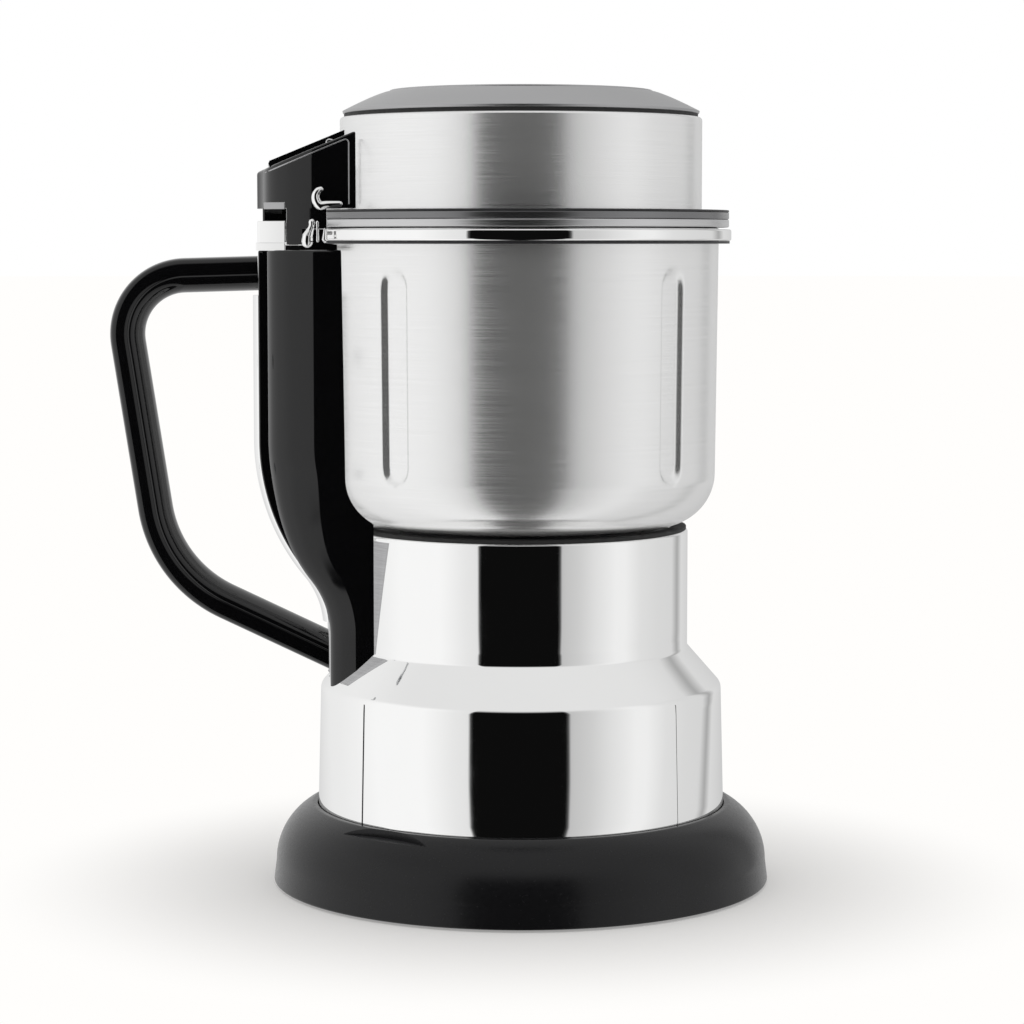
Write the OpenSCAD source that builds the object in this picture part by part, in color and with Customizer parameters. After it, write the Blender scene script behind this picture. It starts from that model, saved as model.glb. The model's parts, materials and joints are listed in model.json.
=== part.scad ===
// Milkshake mixer: a motor base, a jug with a handle that lifts off it, and a hinged lid.
// The origin is on the mixer's own axis, on the surface that it stands on. The handle points along -X
// and the front of the machine faces -Y. Every size is in millimetres.

/* [Foot] */
// How far the foot ring stands out from the body
foot_out = 18.4; // [16:0.1:23]
// Height of the foot ring's top edge
foot_h = 30.6; // [29:0.1:32]
// Radius of the crown of the foot ring, in section
foot_crown = 24; // [21:0.5:25]
// How far the side of the foot ring leans in below its crown
foot_draft = 1; // [0.5:0.1:2]
// Height of the anti-slip ring under the foot, of which the last part stands proud
pad_h = 2.8; // [2:0.1:4]
// How far the anti-slip ring stands below the foot ring
pad_proud = 0.9; // [0.5:0.1:1.5]
// Width of the anti-slip ring
pad_w = 8; // [5:0.5:10]
// Thickness of the base plate
plate_t = 2.6; // [2:0.1:3.5]
// Half length of the prising notch in the top of the foot ring
notch_half = 16; // [12:0.5:18]

/* [Body] */
// Radius of the body at the bottom of its shoulder
body_r = 76.6; // [76:0.1:78]
// How much wider the body is at its foot than at its shoulder
body_flare = 1.2; // [0.5:0.1:2]
// Height of the straight wall between foot and shoulder
body_h = 45.7; // [43:0.1:48]
// Height of the sloping shoulder
shoulder_h = 14.7; // [13.5:0.1:16]
// How far the neck that carries the jug is set in from the body
neck_in = 12.9; // [12:0.1:15]
// Height of the neck
neck_h = 44.6; // [42:0.2:50]
// Thickness of the body's sheet metal
sheet_t = 1.2; // [0.8:0.1:1.6]
// Half angle of the front panel, about the mixer's axis
panel_half = 52; // [35:1:58]
// Direction of the middle of the front panel, from straight ahead towards the handle
panel_turn = 5; // [0:1:10]
// Width of the seams round the front panel
seam_w = 0.4; // [0.3:0.1:0.8]

/* [Jug] */
// How much narrower the jar's mouth is than the body
jar_step = 1.7; // [1.4:0.1:2.6]
// How much narrower the jar is above its bottom corner
jar_draft = 1.2; // [0.6:0.1:2]
// Height of the jar
jar_h = 112.3; // [108:0.1:118]
// Radius of the jar's bottom corner
jar_corner = 20; // [17:0.5:22]
// Thickness of the jar's wall
jar_t = 1.2; // [1:0.1:1.6]
// Radius that rounds each pressed flute of the jar
flute_r = 7; // [6:0.5:8]
// Depth of each pressed flute
flute_depth = 2; // [1.5:0.1:2.5]
// Length of each pressed flute
flute_len = 69; // [50:1:72]
// Width of the bright ring under the jar's mouth
rim_w = 4.7; // [4:0.1:6]
// Height of the bright ring
rim_h = 5.3; // [4:0.1:6]
// Height of the seat ring between neck and jar
seat_h = 1.4; // [1:0.1:2]

/* [Lid] */
// How far the lid's wall is set in from the jar's mouth
lid_in = 6.5; // [5.4:0.1:7.5]
// Height of the lid's wall above the jar's mouth
lid_h = 41.3; // [39:0.1:45]
// Height of the pale ring at the foot of the lid
lid_ring_h = 3; // [2:0.1:4]
// Height of the dark ring above it
carrier_h = 3.5; // [2.5:0.1:4.5]
// How far both rings stay inside the bright ring of the jar
lid_ring_in = 0.9; // [0.4:0.1:1.6]
// Height of the grey top above the lid's wall
dome_h = 8.2; // [7:0.1:10]
// How far the flat disc on top is set in from the lid's wall
disc_in = 17.6; // [16:0.1:22]

/* [Spine and handle] */
// Half width of the spine
spine_half = 26; // [25:0.5:27]
// Radius of the spine's outer corners, seen from above
spine_corner = 18; // [15:0.5:19]
// How far the spine's outer face stands out from the bright ring
spine_out = 19.8; // [19:0.1:20.4]
// How far the outer face of the spine's tail is set in from the body
tail_in = 3; // [2.5:0.1:4]
// Height at which the spine starts to curve in
spine_bend_z = 170; // [166:0.5:174]
// Radius of the upper curve of the spine
spine_upper_r = 80; // [76:0.5:84]
// Radius of the lower curve of the spine
spine_lower_r = 33; // [30:0.5:35]
// Thickness of the bright strip down the spine
trim_t = 2.1; // [1.5:0.1:2.5]
// Thickness of the handle, across its loop
grip_t = 14.4; // [12:0.2:15]
// Width of the handle
grip_w = 20; // [16:0.5:24]
// Radius at the handle's edges
grip_edge = 6; // [4:0.5:6.8]
// Distance from the spine to the upper corner of the handle's middle line
handle_out = 53.6; // [50:0.1:57]
// Height of the handle's upper arm
arm_z = 232.2; // [229:0.2:232.8]
// How much nearer the axis the lower corner of that line is
elbow_in = 17.2; // [14:0.2:20]
// Height of that lower corner
elbow_z = 119.8; // [117:0.2:123]
// Slope of the handle's lower arm
arm_slope = 25.6; // [24:0.2:27]
// Radius of the handle's bends, on its middle line
handle_bend = 22; // [19:0.5:24]

/* [Hinge and interlock] */
// How far the hinge stands out from the bright ring
hinge_out = 14.4; // [14:0.1:14.8]
// How far the hinge pin lies below the jar's mouth
hinge_drop = 0.4; // [0.2:0.1:0.8]
// Radius of the hinge pin
pin_r = 2; // [1.5:0.1:2.2]
// Radius of the round corner of the hinge block
knuckle_r = 5.6; // [5.4:0.1:5.8]
// Thickness of each ear of the hinge bracket
ear_t = 3; // [2:0.1:3.4]
// Height of the hinge block's outer face above its pin
block_h = 21.3; // [20:0.1:23]
// Slope of the hinge block's top
block_slope = 22.4; // [20:0.2:24]
// Turn of the run lever when it is fully pressed
lever_turn = 6; // [4:0.5:6]
// Half width of the run lever
lever_half = 17; // [14:0.5:18]
// Radius of the interlock's push rod
rod_r = 1.6; // [1.3:0.1:1.7]

/* [Blades and drive] */
// Reach of each blade from the axis
blade_reach = 34; // [26:1:38]
// Width of a blade at its root
blade_w = 12; // [9:0.5:14]
// Thickness of the blades
blade_t = 1.6; // [1.2:0.1:2]
// Angle by which the blades' tips are bent up or down
blade_bend = 24; // [12:1:30]
// Radius of the motor shaft and of the blade shaft
shaft_r = 4; // [3:0.1:4.5]
// Running clearance of a shaft in its bearing
running_gap = 0.06; // [0.04:0.01:0.1]
// Number of dogs on the drive coupling
dogs = 6; // [4:2:8]

/* [Hidden] */
$fn = 96;

// Clearances between pieces that move apart, between pieces that seat, and beside sliding pieces
move_gap = 0.3;
seat_gap = 0.05;
slide_gap = 0.2;
// A length that takes a cut past the surface that it opens
over = 1;

// Radii that follow from the body's own
foot_r = body_r + foot_out;
neck_r = body_r - neck_in;
jar_r = body_r - jar_step;
rim_r = jar_r + rim_w;
lid_r = jar_r - lid_in;
lid_ring_r = rim_r - lid_ring_in;
disc_r = lid_r - disc_in;
spine_reach = rim_r + spine_out;
tail_reach = body_r - tail_in;
handle_reach = spine_reach + handle_out;
elbow_reach = handle_reach - elbow_in;

// Heights of the stack, from the floor up
ring_z = pad_proud;
shoulder_z = foot_h + body_h;
neck_z = shoulder_z + shoulder_h;
deck_z = neck_z + neck_h;
seat_z = deck_z + seat_h;
jar_z = seat_z + move_gap;
jar_top = jar_z + jar_h;
lid_z = jar_top + 0.4;
carrier_z = lid_z + lid_ring_h;
flange_top = carrier_z + carrier_h;
lid_top_z = lid_z + lid_h;
dome_z = lid_top_z + 1.3;
crown_z = dome_z + dome_h;
jar_low_r = jar_r - jar_draft;
// The flat on the round flanges that makes room for the hinge
flat_x = sqrt(pow(lid_ring_r, 2) - pow(spine_half + 0.6, 2));

// The hinge and the outer faces of its block
hinge_x = -(rim_r + hinge_out);
hinge_z = jar_top - hinge_drop;
block_x = hinge_x - knuckle_r;
block_low = hinge_z - knuckle_r;
leg_r = 12.3;
spine_top = block_low - 0.5;
bracket_t = 1.5;
bracket_x = [hinge_x - 5.6, hinge_x + 4.4];
ear_x = [hinge_x - 4.4, hinge_x + 4.2];
ear_top = hinge_z + 2.9;
ear_y = spine_half - 0.1;
recess_y = ear_y - ear_t - move_gap;
recess_x = hinge_x + 5.8;
recess_top = hinge_z + 8;
block_face_z = hinge_z + block_h;

// The spine's path: two curves that meet where their slopes agree
spine_sweep = acos(1 - (spine_reach - tail_reach) / (spine_upper_r + spine_lower_r));
tail_z = spine_bend_z - (spine_upper_r + spine_lower_r) * sin(spine_sweep);
spine_depth = 38;

// The foot ring's curve and the seats inside it
crown_z0 = 8.8;
foot_lip_r = body_r + body_flare + move_gap;
foot_bore = body_r - 3.4;
ledge_z = 20;
inner_flange = 6;
screw_circle = foot_bore - inner_flange / 2;
plate_z = ring_z + 2.6;
flange_z = plate_z + plate_t;

// The drive train's heights
shaft_low = 26;
low_bearing_z = 30;
bearing_h = 7;
bearing_r = 11;
bottom_bracket_z = 37;
bracket_plate = 4;
brush_z = 49;
stator_z = 58;
stator_h = 34;
motor_bracket_r = body_r - 22.2;
stator_r = 44;
coil_end = 4;
rotor_r = 26.5;
fan_z = 97;
fan_h = 7;
top_bracket_z = deck_z - 29.6;
top_bearing_z = top_bracket_z - 1;
deck_floor = deck_z - 17.6;
deck_t = 2.5;
deck_r = neck_r - sheet_t - 0.2;
coupling_z = deck_floor + deck_t + 1;
coupling_h = 4.5;
hub_r = 5.2;
bolt_circle = 49;

// The jug's drive
collar_r = 46;
housing_z = jar_z - 8;
housing_r = 9;
housing_flange_r = 20;
housing_top = jar_z + 15;
blades_z = housing_top + 1.4;
driven_z = coupling_z + 0.6;
driven_top = driven_z + coupling_h + 2.2;

// The interlock's line of action
plunger_r = 1.8;
guide_r = plunger_r + 0.6;
plunger_x = hinge_x + 8;
rod_low = [-(neck_r + 4.7), neck_z - 2];
rod_high = [plunger_x, spine_top - 0.15];
rod_tilt = atan((rod_low[0] - rod_high[0]) / (rod_high[1] - rod_low[1]));
rod_len = norm(rod_high - rod_low);
switch_top = 66;
switch_h = 18;
switch_w = 10;

// The run lever lies along the block's top, in a frame that starts at the block's upper outer edge
lever_t = 4;
lever_sunk = 2;
lever_start = 5;
lever_pivot = 29;
lever_travel = (lever_pivot - lever_start) * sin(lever_turn);
pocket_depth = lever_sunk + lever_travel + 1.9;
lever_under_z = block_face_z + (plunger_x - block_x) * tan(block_slope)
    - lever_sunk / cos(block_slope);
plunger_low = block_low - 0.15;
plunger_high = lever_under_z - plunger_r * tan(block_slope) - 2 * move_gap;

// Colours
steel = "silver";
bright = "gainsboro";
black = [0.06, 0.06, 0.07];
dark = [0.2, 0.2, 0.22];
brass = "goldenrod";

// ---- Shared shapes ----

// A ring: a tube with one outer and one inner radius
module ring(outer, inner, h) {
    difference() {
        cylinder(r = outer, h = h);
        translate([0, 0, -over]) cylinder(r = inner, h = h + 2 * over);
    }
}

// Copies of a child spaced evenly round the axis
module around(count, start = 0) {
    for (i = [0:count - 1]) rotate([0, 0, start + i * 360 / count]) children();
}

// A solid with the front or back side cut flat where the hinge stands
module flat_at_hinge(z, h) {
    difference() {
        children();
        translate([-flat_x - 30, -spine_half * 2, z - over])
            cube([30, spine_half * 4, h + 2 * over]);
    }
}

// A cylinder that lies along Y, through a point of the middle plane
module pin_y(x, z, r, y0, y1) {
    translate([x, y1, z]) rotate([90, 0, 0]) cylinder(r = r, h = y1 - y0);
}

// An outline in the XZ plane, given a thickness along Y
module plate_y(y0, y1) {
    translate([0, y1, 0]) rotate([90, 0, 0]) linear_extrude(y1 - y0) children();
}

// The jar's outer form, grown by a clearance
module jar_form(grow = 0) {
    r0 = jar_low_r + grow;
    c = jar_corner + grow;
    rotate_extrude() {
        polygon([
            [0, jar_z - grow], [r0 - c, jar_z - grow], [r0 - c, jar_z - grow + c],
            [r0, jar_z - grow + c], [jar_r + grow, jar_top], [0, jar_top]
        ]);
        intersection() {
            translate([r0 - c, jar_z - grow + c]) circle(c);
            translate([r0 - c, jar_z - grow]) square([c, c]);
        }
    }
}

// The body's outer form above the foot, grown by a clearance
module body_form(grow = 0, bottom = ledge_z) {
    rotate_extrude() polygon([
        [0, bottom], [body_r + body_flare + grow, bottom], [body_r + body_flare + grow, foot_h],
        [body_r + grow, shoulder_z + grow * 0.41], [neck_r + grow, neck_z + grow * 0.41],
        [neck_r + grow, deck_z], [0, deck_z]
    ]);
}

// ---- Base ----

module foot_ring() color(black) {
    crown_r = foot_r - foot_draft - foot_crown;
    top_angle = asin((foot_h - 0.6 - crown_z0) / foot_crown);
    difference() {
        rotate_extrude() {
            polygon([
                [foot_bore, ring_z], [foot_r - 2, ring_z], [foot_r, ring_z + 2],
                [foot_r - foot_draft, crown_z0],
                for (i = [1:12])
                    [crown_r + foot_crown * cos(i * top_angle / 12),
                     crown_z0 + foot_crown * sin(i * top_angle / 12)],
                [foot_lip_r + 0.5, foot_h], [foot_lip_r, foot_h - 0.3],
                [foot_lip_r, ledge_z - seat_gap], [foot_bore, ledge_z - seat_gap]
            ]);
            translate([foot_bore - inner_flange, flange_z + seat_gap]) square([inner_flange + over, 9]);
        }
        rotate([0, 0, -118]) translate([foot_lip_r + 1.2 + 60, 0, foot_h - 3])
            cylinder(r = 60, h = 10, $fn = 120);
        translate([0, 0, ring_z - over]) ring(foot_r - 5, foot_r - 5 - pad_w, pad_h - ring_z + over);
        around(4, 45) translate([screw_circle, 0, plate_z]) cylinder(r = 1.5 + seat_gap, h = 10);
        translate([0, foot_bore - over, 11]) rotate([-90, 0, 0]) cylinder(r = 5.5 + seat_gap, h = 40);
        translate([0, foot_r - 4, 11]) rotate([-90, 0, 0]) cylinder(r = 7.5, h = 40);
    }
}

module anti_slip_ring() color(dark)
    ring(foot_r - 5 - seat_gap, foot_r - 5 - pad_w + seat_gap, pad_h);

module base_plate() color(dark) difference() {
    translate([0, 0, plate_z]) cylinder(r = foot_bore - move_gap, h = plate_t);
    around(4, 45) translate([screw_circle, 0, 0]) cylinder(r = 1.8, h = plate_z + 2 * plate_t);
    for (ring_row = [24, 36, 48])
        around(8, 22.5) translate([ring_row, 0, plate_z - over]) {
            cylinder(r = 2.5, h = plate_t + 2 * over);
            translate([0, -2.5, 0]) cube([6, 5, plate_t + 2 * over]);
            translate([6, 0, 0]) cylinder(r = 2.5, h = plate_t + 2 * over);
        }
}

module base_screws() color(steel) around(4, 45) translate([screw_circle, 0, 0]) {
    translate([0, 0, plate_z - 1.6]) cylinder(r = 2.9, h = 1.6);
    translate([0, 0, plate_z - over]) cylinder(r = 1.5, h = 9);
}

module panel_sector(grow) {
    rotate([0, 0, -90 - panel_turn]) rotate([0, 0, -panel_half])
        rotate_extrude(angle = 2 * panel_half) translate([body_r - 12, 0])
            square([30, shoulder_z - 4.6 + grow]);
}

module body_shell() color(bright) difference() {
    body_form();
    rotate_extrude() polygon([
        [0, ledge_z - over], [body_r + body_flare - sheet_t, ledge_z - over],
        [body_r + body_flare - sheet_t, foot_h],
        [body_r - sheet_t, shoulder_z - sheet_t * 0.41],
        [neck_r - sheet_t, neck_z - sheet_t * 0.41], [neck_r - sheet_t, deck_z - sheet_t],
        [0, deck_z - sheet_t]
    ]);
    translate([0, 0, deck_z - 2 * sheet_t]) cylinder(r = neck_r - 7, h = 4 * sheet_t);
    difference() {
        translate([0, 0, foot_h - 3]) panel_sector(0);
        translate([0, 0, shoulder_z - 4.6]) cylinder(r = 2 * body_r, h = 60);
    }
    translate([rod_low[0], 0, neck_z - 20]) cylinder(r = guide_r, h = 40);
}

module front_panel() color(bright) difference() {
    intersection() {
        body_form();
        rotate([0, 0, -90 - panel_turn]) rotate([0, 0, -panel_half + seam_w / 1.4])
            rotate_extrude(angle = 2 * panel_half - seam_w * 1.43)
                translate([body_r - 12, foot_h - 3 + seam_w])
                    square([30, shoulder_z - foot_h - 1.6 - 2 * seam_w]);
    }
    rotate_extrude() polygon([
        [0, 0], [body_r + body_flare - sheet_t, 0],
        [body_r + body_flare - sheet_t, foot_h],
        [body_r - sheet_t, shoulder_z], [0, shoulder_z]
    ]);
}

// The plastic deck under the jug, with a well that centres the jar's collar and a leg for the switch
module deck() color(black) difference() {
    union() {
        translate([0, 0, deck_floor]) cylinder(r = collar_r + 3, h = deck_z - sheet_t - deck_floor - seat_gap);
        translate([0, 0, deck_z - sheet_t - seat_gap - 3]) cylinder(r = deck_r, h = 3);
        intersection() {
            cylinder(r = deck_r, h = deck_z - sheet_t - 2);
            translate([-deck_r, -switch_w / 2, switch_top - switch_h + 2])
                cube([4.5, switch_w, deck_z - sheet_t - 2 - switch_top + switch_h - 2]);
        }
    }
    translate([0, 0, deck_floor + deck_t]) cylinder(r = collar_r + 0.5, h = 40);
    translate([0, 0, deck_floor - over]) cylinder(r = 13, h = 10);
}

module seat_ring() color(black) translate([0, 0, deck_z])
    ring(neck_r - 0.6, neck_r - 6.4, seat_h);

// Carries a section, whose +X side is the spine's outer side, down the spine's path
module along_spine(top, bottom) {
    if (top > spine_bend_z)
        translate([-spine_reach, 0, spine_bend_z]) linear_extrude(top - spine_bend_z)
            mirror([1, 0]) children();
    translate([spine_upper_r - spine_reach, 0, spine_bend_z]) rotate([90, 0, 0])
        rotate([0, 0, 180]) rotate_extrude(angle = spine_sweep)
            translate([spine_upper_r, 0]) children();
    translate([-tail_reach - spine_lower_r, 0, tail_z]) rotate([90, 0, 0])
        rotate_extrude(angle = spine_sweep)
            translate([spine_lower_r, 0]) mirror([1, 0]) children();
    if (bottom < tail_z)
        translate([-tail_reach, 0, bottom]) linear_extrude(tail_z - bottom)
            mirror([1, 0]) children();
}

// The spine's section, from its flat nose at 0 inwards: [depth behind the nose, distance along Y]
nose_steps = 8;
nose_flat = spine_half - spine_corner;
nose_side = [
    for (i = [0:nose_steps])
        [spine_corner * (1 - cos(i * 90 / nose_steps)), nose_flat + spine_corner * sin(i * 90 / nose_steps)],
    [spine_depth, spine_half]
];
nose_points = concat(
    [for (i = [len(nose_side) - 1:-1:0]) [nose_side[i][0], -nose_side[i][1]]], nose_side
);

// Stations down the spine: [x and z of the nose, how far the section leans]
curve_steps = 10;
spine_stations = concat(
    [[-spine_reach, spine_top, 0]],
    [for (i = [0:curve_steps]) let (a = i * spine_sweep / curve_steps)
        [spine_upper_r * (1 - cos(a)) - spine_reach, spine_bend_z - spine_upper_r * sin(a), a]],
    [for (i = [1:curve_steps]) let (a = (1 - i / curve_steps) * spine_sweep)
        [-tail_reach - spine_lower_r * (1 - cos(a)), tail_z + spine_lower_r * sin(a), a]],
    [[-tail_reach, shoulder_z, 0]]
);

// The spine as one loft through its stations
module spine_loft() {
    n = len(nose_points);
    m = len(spine_stations);
    polyhedron(
        points = [for (s = spine_stations, p = nose_points)
            [s[0] + p[0] * cos(s[2]), p[1], s[1] + p[0] * sin(s[2])]],
        faces = concat(
            [[for (k = [0:n - 1]) k]],
            [for (i = [0:m - 2], k = [0:n - 1])
                [i * n + (k + 1) % n, i * n + k, (i + 1) * n + k, (i + 1) * n + (k + 1) % n]],
            [[for (k = [n - 1:-1:0]) (m - 1) * n + k]]
        ),
        convexity = 4
    );
}

// The saddle that the spine's tail stands in: a plate on the neck, a seat on the shoulder and a
// low wall round the tail's nose
saddle_t = 1.3;
saddle_r = body_r + 0.1;
saddle_wall = 0.9;
saddle_wall_h = 2.2;
neck_seat_r = neck_r + saddle_t;
neck_seat_z = neck_z - 0.6;
saddle_z = neck_seat_z + neck_seat_r - saddle_r;

module tail_saddle() color(bright) difference() {
    union() {
        intersection() {
            rotate_extrude() polygon([
                [body_r + seat_gap, shoulder_z + 0.1], [saddle_r, shoulder_z + 0.1],
                [saddle_r, saddle_z], [neck_seat_r, neck_seat_z], [neck_seat_r, deck_z - 2],
                [neck_r + seat_gap, deck_z - 2], [neck_r + seat_gap, neck_z + 0.1]
            ]);
            translate([0, 0, neck_z]) rotate([90, 0, -90]) linear_extrude(2 * body_r) polygon([
                [-spine_half - 0.6, -20], [spine_half + 0.6, -20],
                [spine_half + 8, neck_h], [-spine_half - 8, neck_h]
            ]);
        }
        intersection() {
            translate([0, 0, saddle_z - 0.6]) ring(saddle_r, saddle_r - saddle_wall, saddle_wall_h);
            translate([-2 * body_r, -13, 0]) cube([2 * body_r, 26, deck_z]);
        }
    }
    translate([rod_low[0], 0, shoulder_z - 5]) cylinder(r = guide_r, h = 40);
}

module cord_gland() color(black) translate([0, 0, 11]) rotate([-90, 0, 0]) difference() {
    union() {
        translate([0, 0, foot_bore + 0.5]) cylinder(r = 5.5, h = foot_r - 4 - foot_bore);
        translate([0, 0, foot_r - 3.9]) cylinder(r = 7.4, h = 2.6);
    }
    cylinder(r = 3.5, h = 2 * foot_r);
}

// ---- Motor ----

module motor_mounts() color(dark) around(4, 45)
    translate([bolt_circle - 8, 0, top_bracket_z + bracket_plate + seat_gap])
        cylinder(r = 5, h = deck_floor - top_bracket_z - bracket_plate - 2 * seat_gap);

module bracket(z, plate_h, hub_low, hub_high, radius) {
    difference() {
        union() {
            translate([0, 0, z]) cylinder(r = radius, h = plate_h);
            translate([0, 0, hub_low]) cylinder(r = bearing_r + 3, h = hub_high - hub_low);
        }
        translate([0, 0, hub_low + 1.5]) cylinder(r = bearing_r + seat_gap, h = bearing_h + 0.2);
        translate([0, 0, hub_low - over]) cylinder(r = shaft_r + 2, h = hub_high - hub_low + 2 * over);
        around(4, 0) translate([bolt_circle, 0, z - over])
            cylinder(r = 2 + seat_gap, h = plate_h + 2 * over);
        around(4, 45) translate([(radius + bearing_r) / 2, 0, z - over])
            cylinder(r = (radius - bearing_r) / 5, h = plate_h + 2 * over);
    }
}

module top_bracket() color(steel)
    difference() {
        bracket(top_bracket_z, bracket_plate, top_bracket_z - 1.5, top_bracket_z + 7.4,
                motor_bracket_r);
        translate([0, 0, top_bracket_z + 7.3]) cylinder(r = bearing_r, h = over);
    }

module bottom_bracket() color(steel)
    bracket(bottom_bracket_z, bracket_plate, low_bearing_z - 1.5, bottom_bracket_z + bracket_plate,
        motor_bracket_r);

module motor_bolts() color(steel) around(4, 0) translate([bolt_circle, 0, 0]) {
    translate([0, 0, bottom_bracket_z - 3]) cylinder(r = 2, h = top_bracket_z + bracket_plate + 6 - bottom_bracket_z);
    translate([0, 0, bottom_bracket_z - 4.5]) cylinder(r = 3.6, h = 4.4);
    translate([0, 0, top_bracket_z + bracket_plate + 0.1]) cylinder(r = 3.6, h = 3);
}

// The stator's stack, with lugs that the motor bolts pass through
module stator() color(dark) translate([0, 0, stator_z]) difference() {
    union() {
        cylinder(r = stator_r, h = stator_h);
        around(4, 0) translate([stator_r - 5, -6, 0]) cube([16, 12, stator_h]);
    }
    translate([0, 0, -over]) cylinder(r = rotor_r + 0.8, h = stator_h + 2 * over);
    for (s = [0, 180]) rotate([0, 0, s]) translate([0, rotor_r - 2, stator_h / 2])
        cube([44, 11, 2 * stator_h], center = true);
    around(4, 0) translate([bolt_circle, 0, -over]) cylinder(r = 2.2, h = stator_h + 2 * over);
}

module field_coils() color("peru") for (s = [0, 180]) rotate([0, 0, s])
    translate([0, 0, stator_z - coil_end]) difference() {
        intersection() {
            ring(stator_r - 4, rotor_r + 2.4, stator_h + 2 * coil_end);
            translate([-21, 0, 0]) cube([42, stator_r, stator_h + 2 * coil_end]);
        }
        translate([-30, 0, coil_end - 0.2]) cube([60, rotor_r - 1, stator_h + 0.4]);
        translate([-30, rotor_r + 3.2, coil_end - 0.2]) cube([60, 30, stator_h + 0.4]);
    }

module brush_holders() color(brass) for (s = [0, 180]) rotate([0, 0, s])
    translate([14, -6, brush_z - 5]) {
        difference() {
            cube([16, 12, 10]);
            translate([-over, 1.9, 1.9]) cube([20, 8.2, 6.2]);
        }
        translate([4, 1, bottom_bracket_z + bracket_plate - brush_z + 5])
            cube([8, 10, brush_z - 5 - bottom_bracket_z - bracket_plate + 0.1]);
    }

module brushes() color([0.15, 0.15, 0.15]) for (s = [0, 180]) rotate([0, 0, s])
    translate([11.4, -4, brush_z - 3]) cube([15, 8, 6]);

module bearings() color(steel) {
    translate([0, 0, low_bearing_z + 0.1]) ring(bearing_r, shaft_r + running_gap, bearing_h);
    translate([0, 0, top_bearing_z + 1.1]) ring(bearing_r, shaft_r + running_gap, bearing_h - 1.2);
}

module motor_shaft() color(steel) translate([0, 0, shaft_low])
    cylinder(r = shaft_r, h = coupling_z + 4 - shaft_low);

module rotor_core() color(dark) translate([0, 0, stator_z + 2]) difference() {
    cylinder(r = rotor_r, h = stator_h - 4);
    translate([0, 0, -over]) cylinder(r = shaft_r, h = stator_h);
    around(12) translate([rotor_r - 3, 0, -over]) cylinder(r = 1.6, h = stator_h);
}

module commutator() color("peru") translate([0, 0, brush_z - 5.4]) ring(11, shaft_r, 11);

// The cooling fan: a hub, a disc and straight vanes
module cooling_fan() color(black) translate([0, 0, fan_z]) {
    difference() {
        union() {
            cylinder(r = 9, h = fan_h);
            cylinder(r = 38, h = 1.4);
            around(9) translate([8, -0.7, 0]) cube([29.6, 1.4, fan_h - 1]);
        }
        translate([0, 0, -over]) cylinder(r = shaft_r, h = fan_h + 2 * over);
    }
}

// Straight bars through the axis, one for each pair of dogs
module dog_bars(width, reach, h) {
    for (i = [0:dogs / 2 - 1]) rotate([0, 0, i * 360 / dogs])
        translate([-reach, -width / 2, 0]) cube([2 * reach, width, h]);
}

module drive_coupling() color(black) translate([0, 0, coupling_z]) difference() {
    union() {
        dog_bars(3.4, 9, coupling_h);
        cylinder(r = hub_r, h = coupling_h);
    }
    translate([0, 0, -over]) cylinder(r = shaft_r, h = 4 + over);
}

module driven_coupling() color(black) translate([0, 0, driven_z]) difference() {
    cylinder(r = 12, h = driven_top - driven_z);
    translate([0, 0, -over]) dog_bars(4.4, 9.5, coupling_h + 0.8);
    translate([0, 0, -over]) cylinder(r = hub_r + 0.5, h = coupling_h + 0.8);
    translate([0, 0, driven_top - driven_z - 1.2]) cylinder(r = shaft_r - 0.8, h = 10);
}

// ---- Interlock in the base ----

module microswitch() color(dark) difference() {
    difference() {
        translate([rod_low[0] - 6, -switch_w / 2, switch_top - switch_h]) cube([12, switch_w, switch_h]);
        cylinder(r = deck_r + seat_gap, h = switch_top + over);
    }
    translate([rod_low[0], 0, switch_top - 7]) cylinder(r = plunger_r + slide_gap, h = 10);
}

module switch_plunger() color("whitesmoke") translate([rod_low[0], 0, 0]) {
    translate([0, 0, switch_top - 3.5]) cylinder(r = plunger_r, h = rod_low[1] - 0.6 - switch_top + 3.5);
}

// ---- Jug ----

// The pressed flutes stand midway between the handle and the front, on both sides
module flutes(radius) {
    low = jar_z + 30;
    around(4, 45) translate([jar_low_r + flute_r - flute_depth + 0.4, 0, low]) {
        cylinder(r = radius, h = flute_len - 2 * flute_r);
        sphere(r = radius);
        translate([0, 0, flute_len - 2 * flute_r]) sphere(r = radius);
    }
}

module jar_hollow() {
    r0 = jar_low_r - jar_t;
    c = jar_corner - jar_t;
    z0 = jar_z + jar_t;
    rotate_extrude() {
        polygon([
            [0, z0], [r0 - c, z0], [r0 - c, z0 + c], [r0, z0 + c],
            [jar_r - jar_t, jar_top + over], [0, jar_top + over]
        ]);
        intersection() {
            translate([r0 - c, z0 + c]) circle(c);
            translate([r0 - c, z0]) square([c, c]);
        }
    }
}

module jar() color(steel) difference() {
    jar_form();
    difference() {
        jar_hollow();
        flutes(flute_r + jar_t);
    }
    flutes(flute_r);
    translate([0, 0, jar_z - over]) cylinder(r = housing_r + seat_gap, h = 2 * over + jar_t);
}

module rim_ring() color(bright) flat_at_hinge(jar_top - 0.3 - rim_h, rim_h)
    translate([0, 0, jar_top - 0.3 - rim_h]) rotate_extrude() polygon([
        [jar_r + seat_gap, 0], [rim_r - 0.8, 0], [rim_r, 0.8],
        [rim_r, rim_h - 0.8], [rim_r - 0.8, rim_h], [jar_r + seat_gap, rim_h]
    ]);

module jar_collar() color(black) difference() {
    translate([0, 0, driven_z + 4]) cylinder(r = collar_r, h = jar_z - seat_gap - driven_z - 4);
    translate([0, 0, driven_z - over]) cylinder(r = housing_r + 6, h = jar_z);
    translate([0, 0, driven_z]) ring(collar_r - 3, housing_r + 10, jar_z - driven_z - 3);
}

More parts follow.
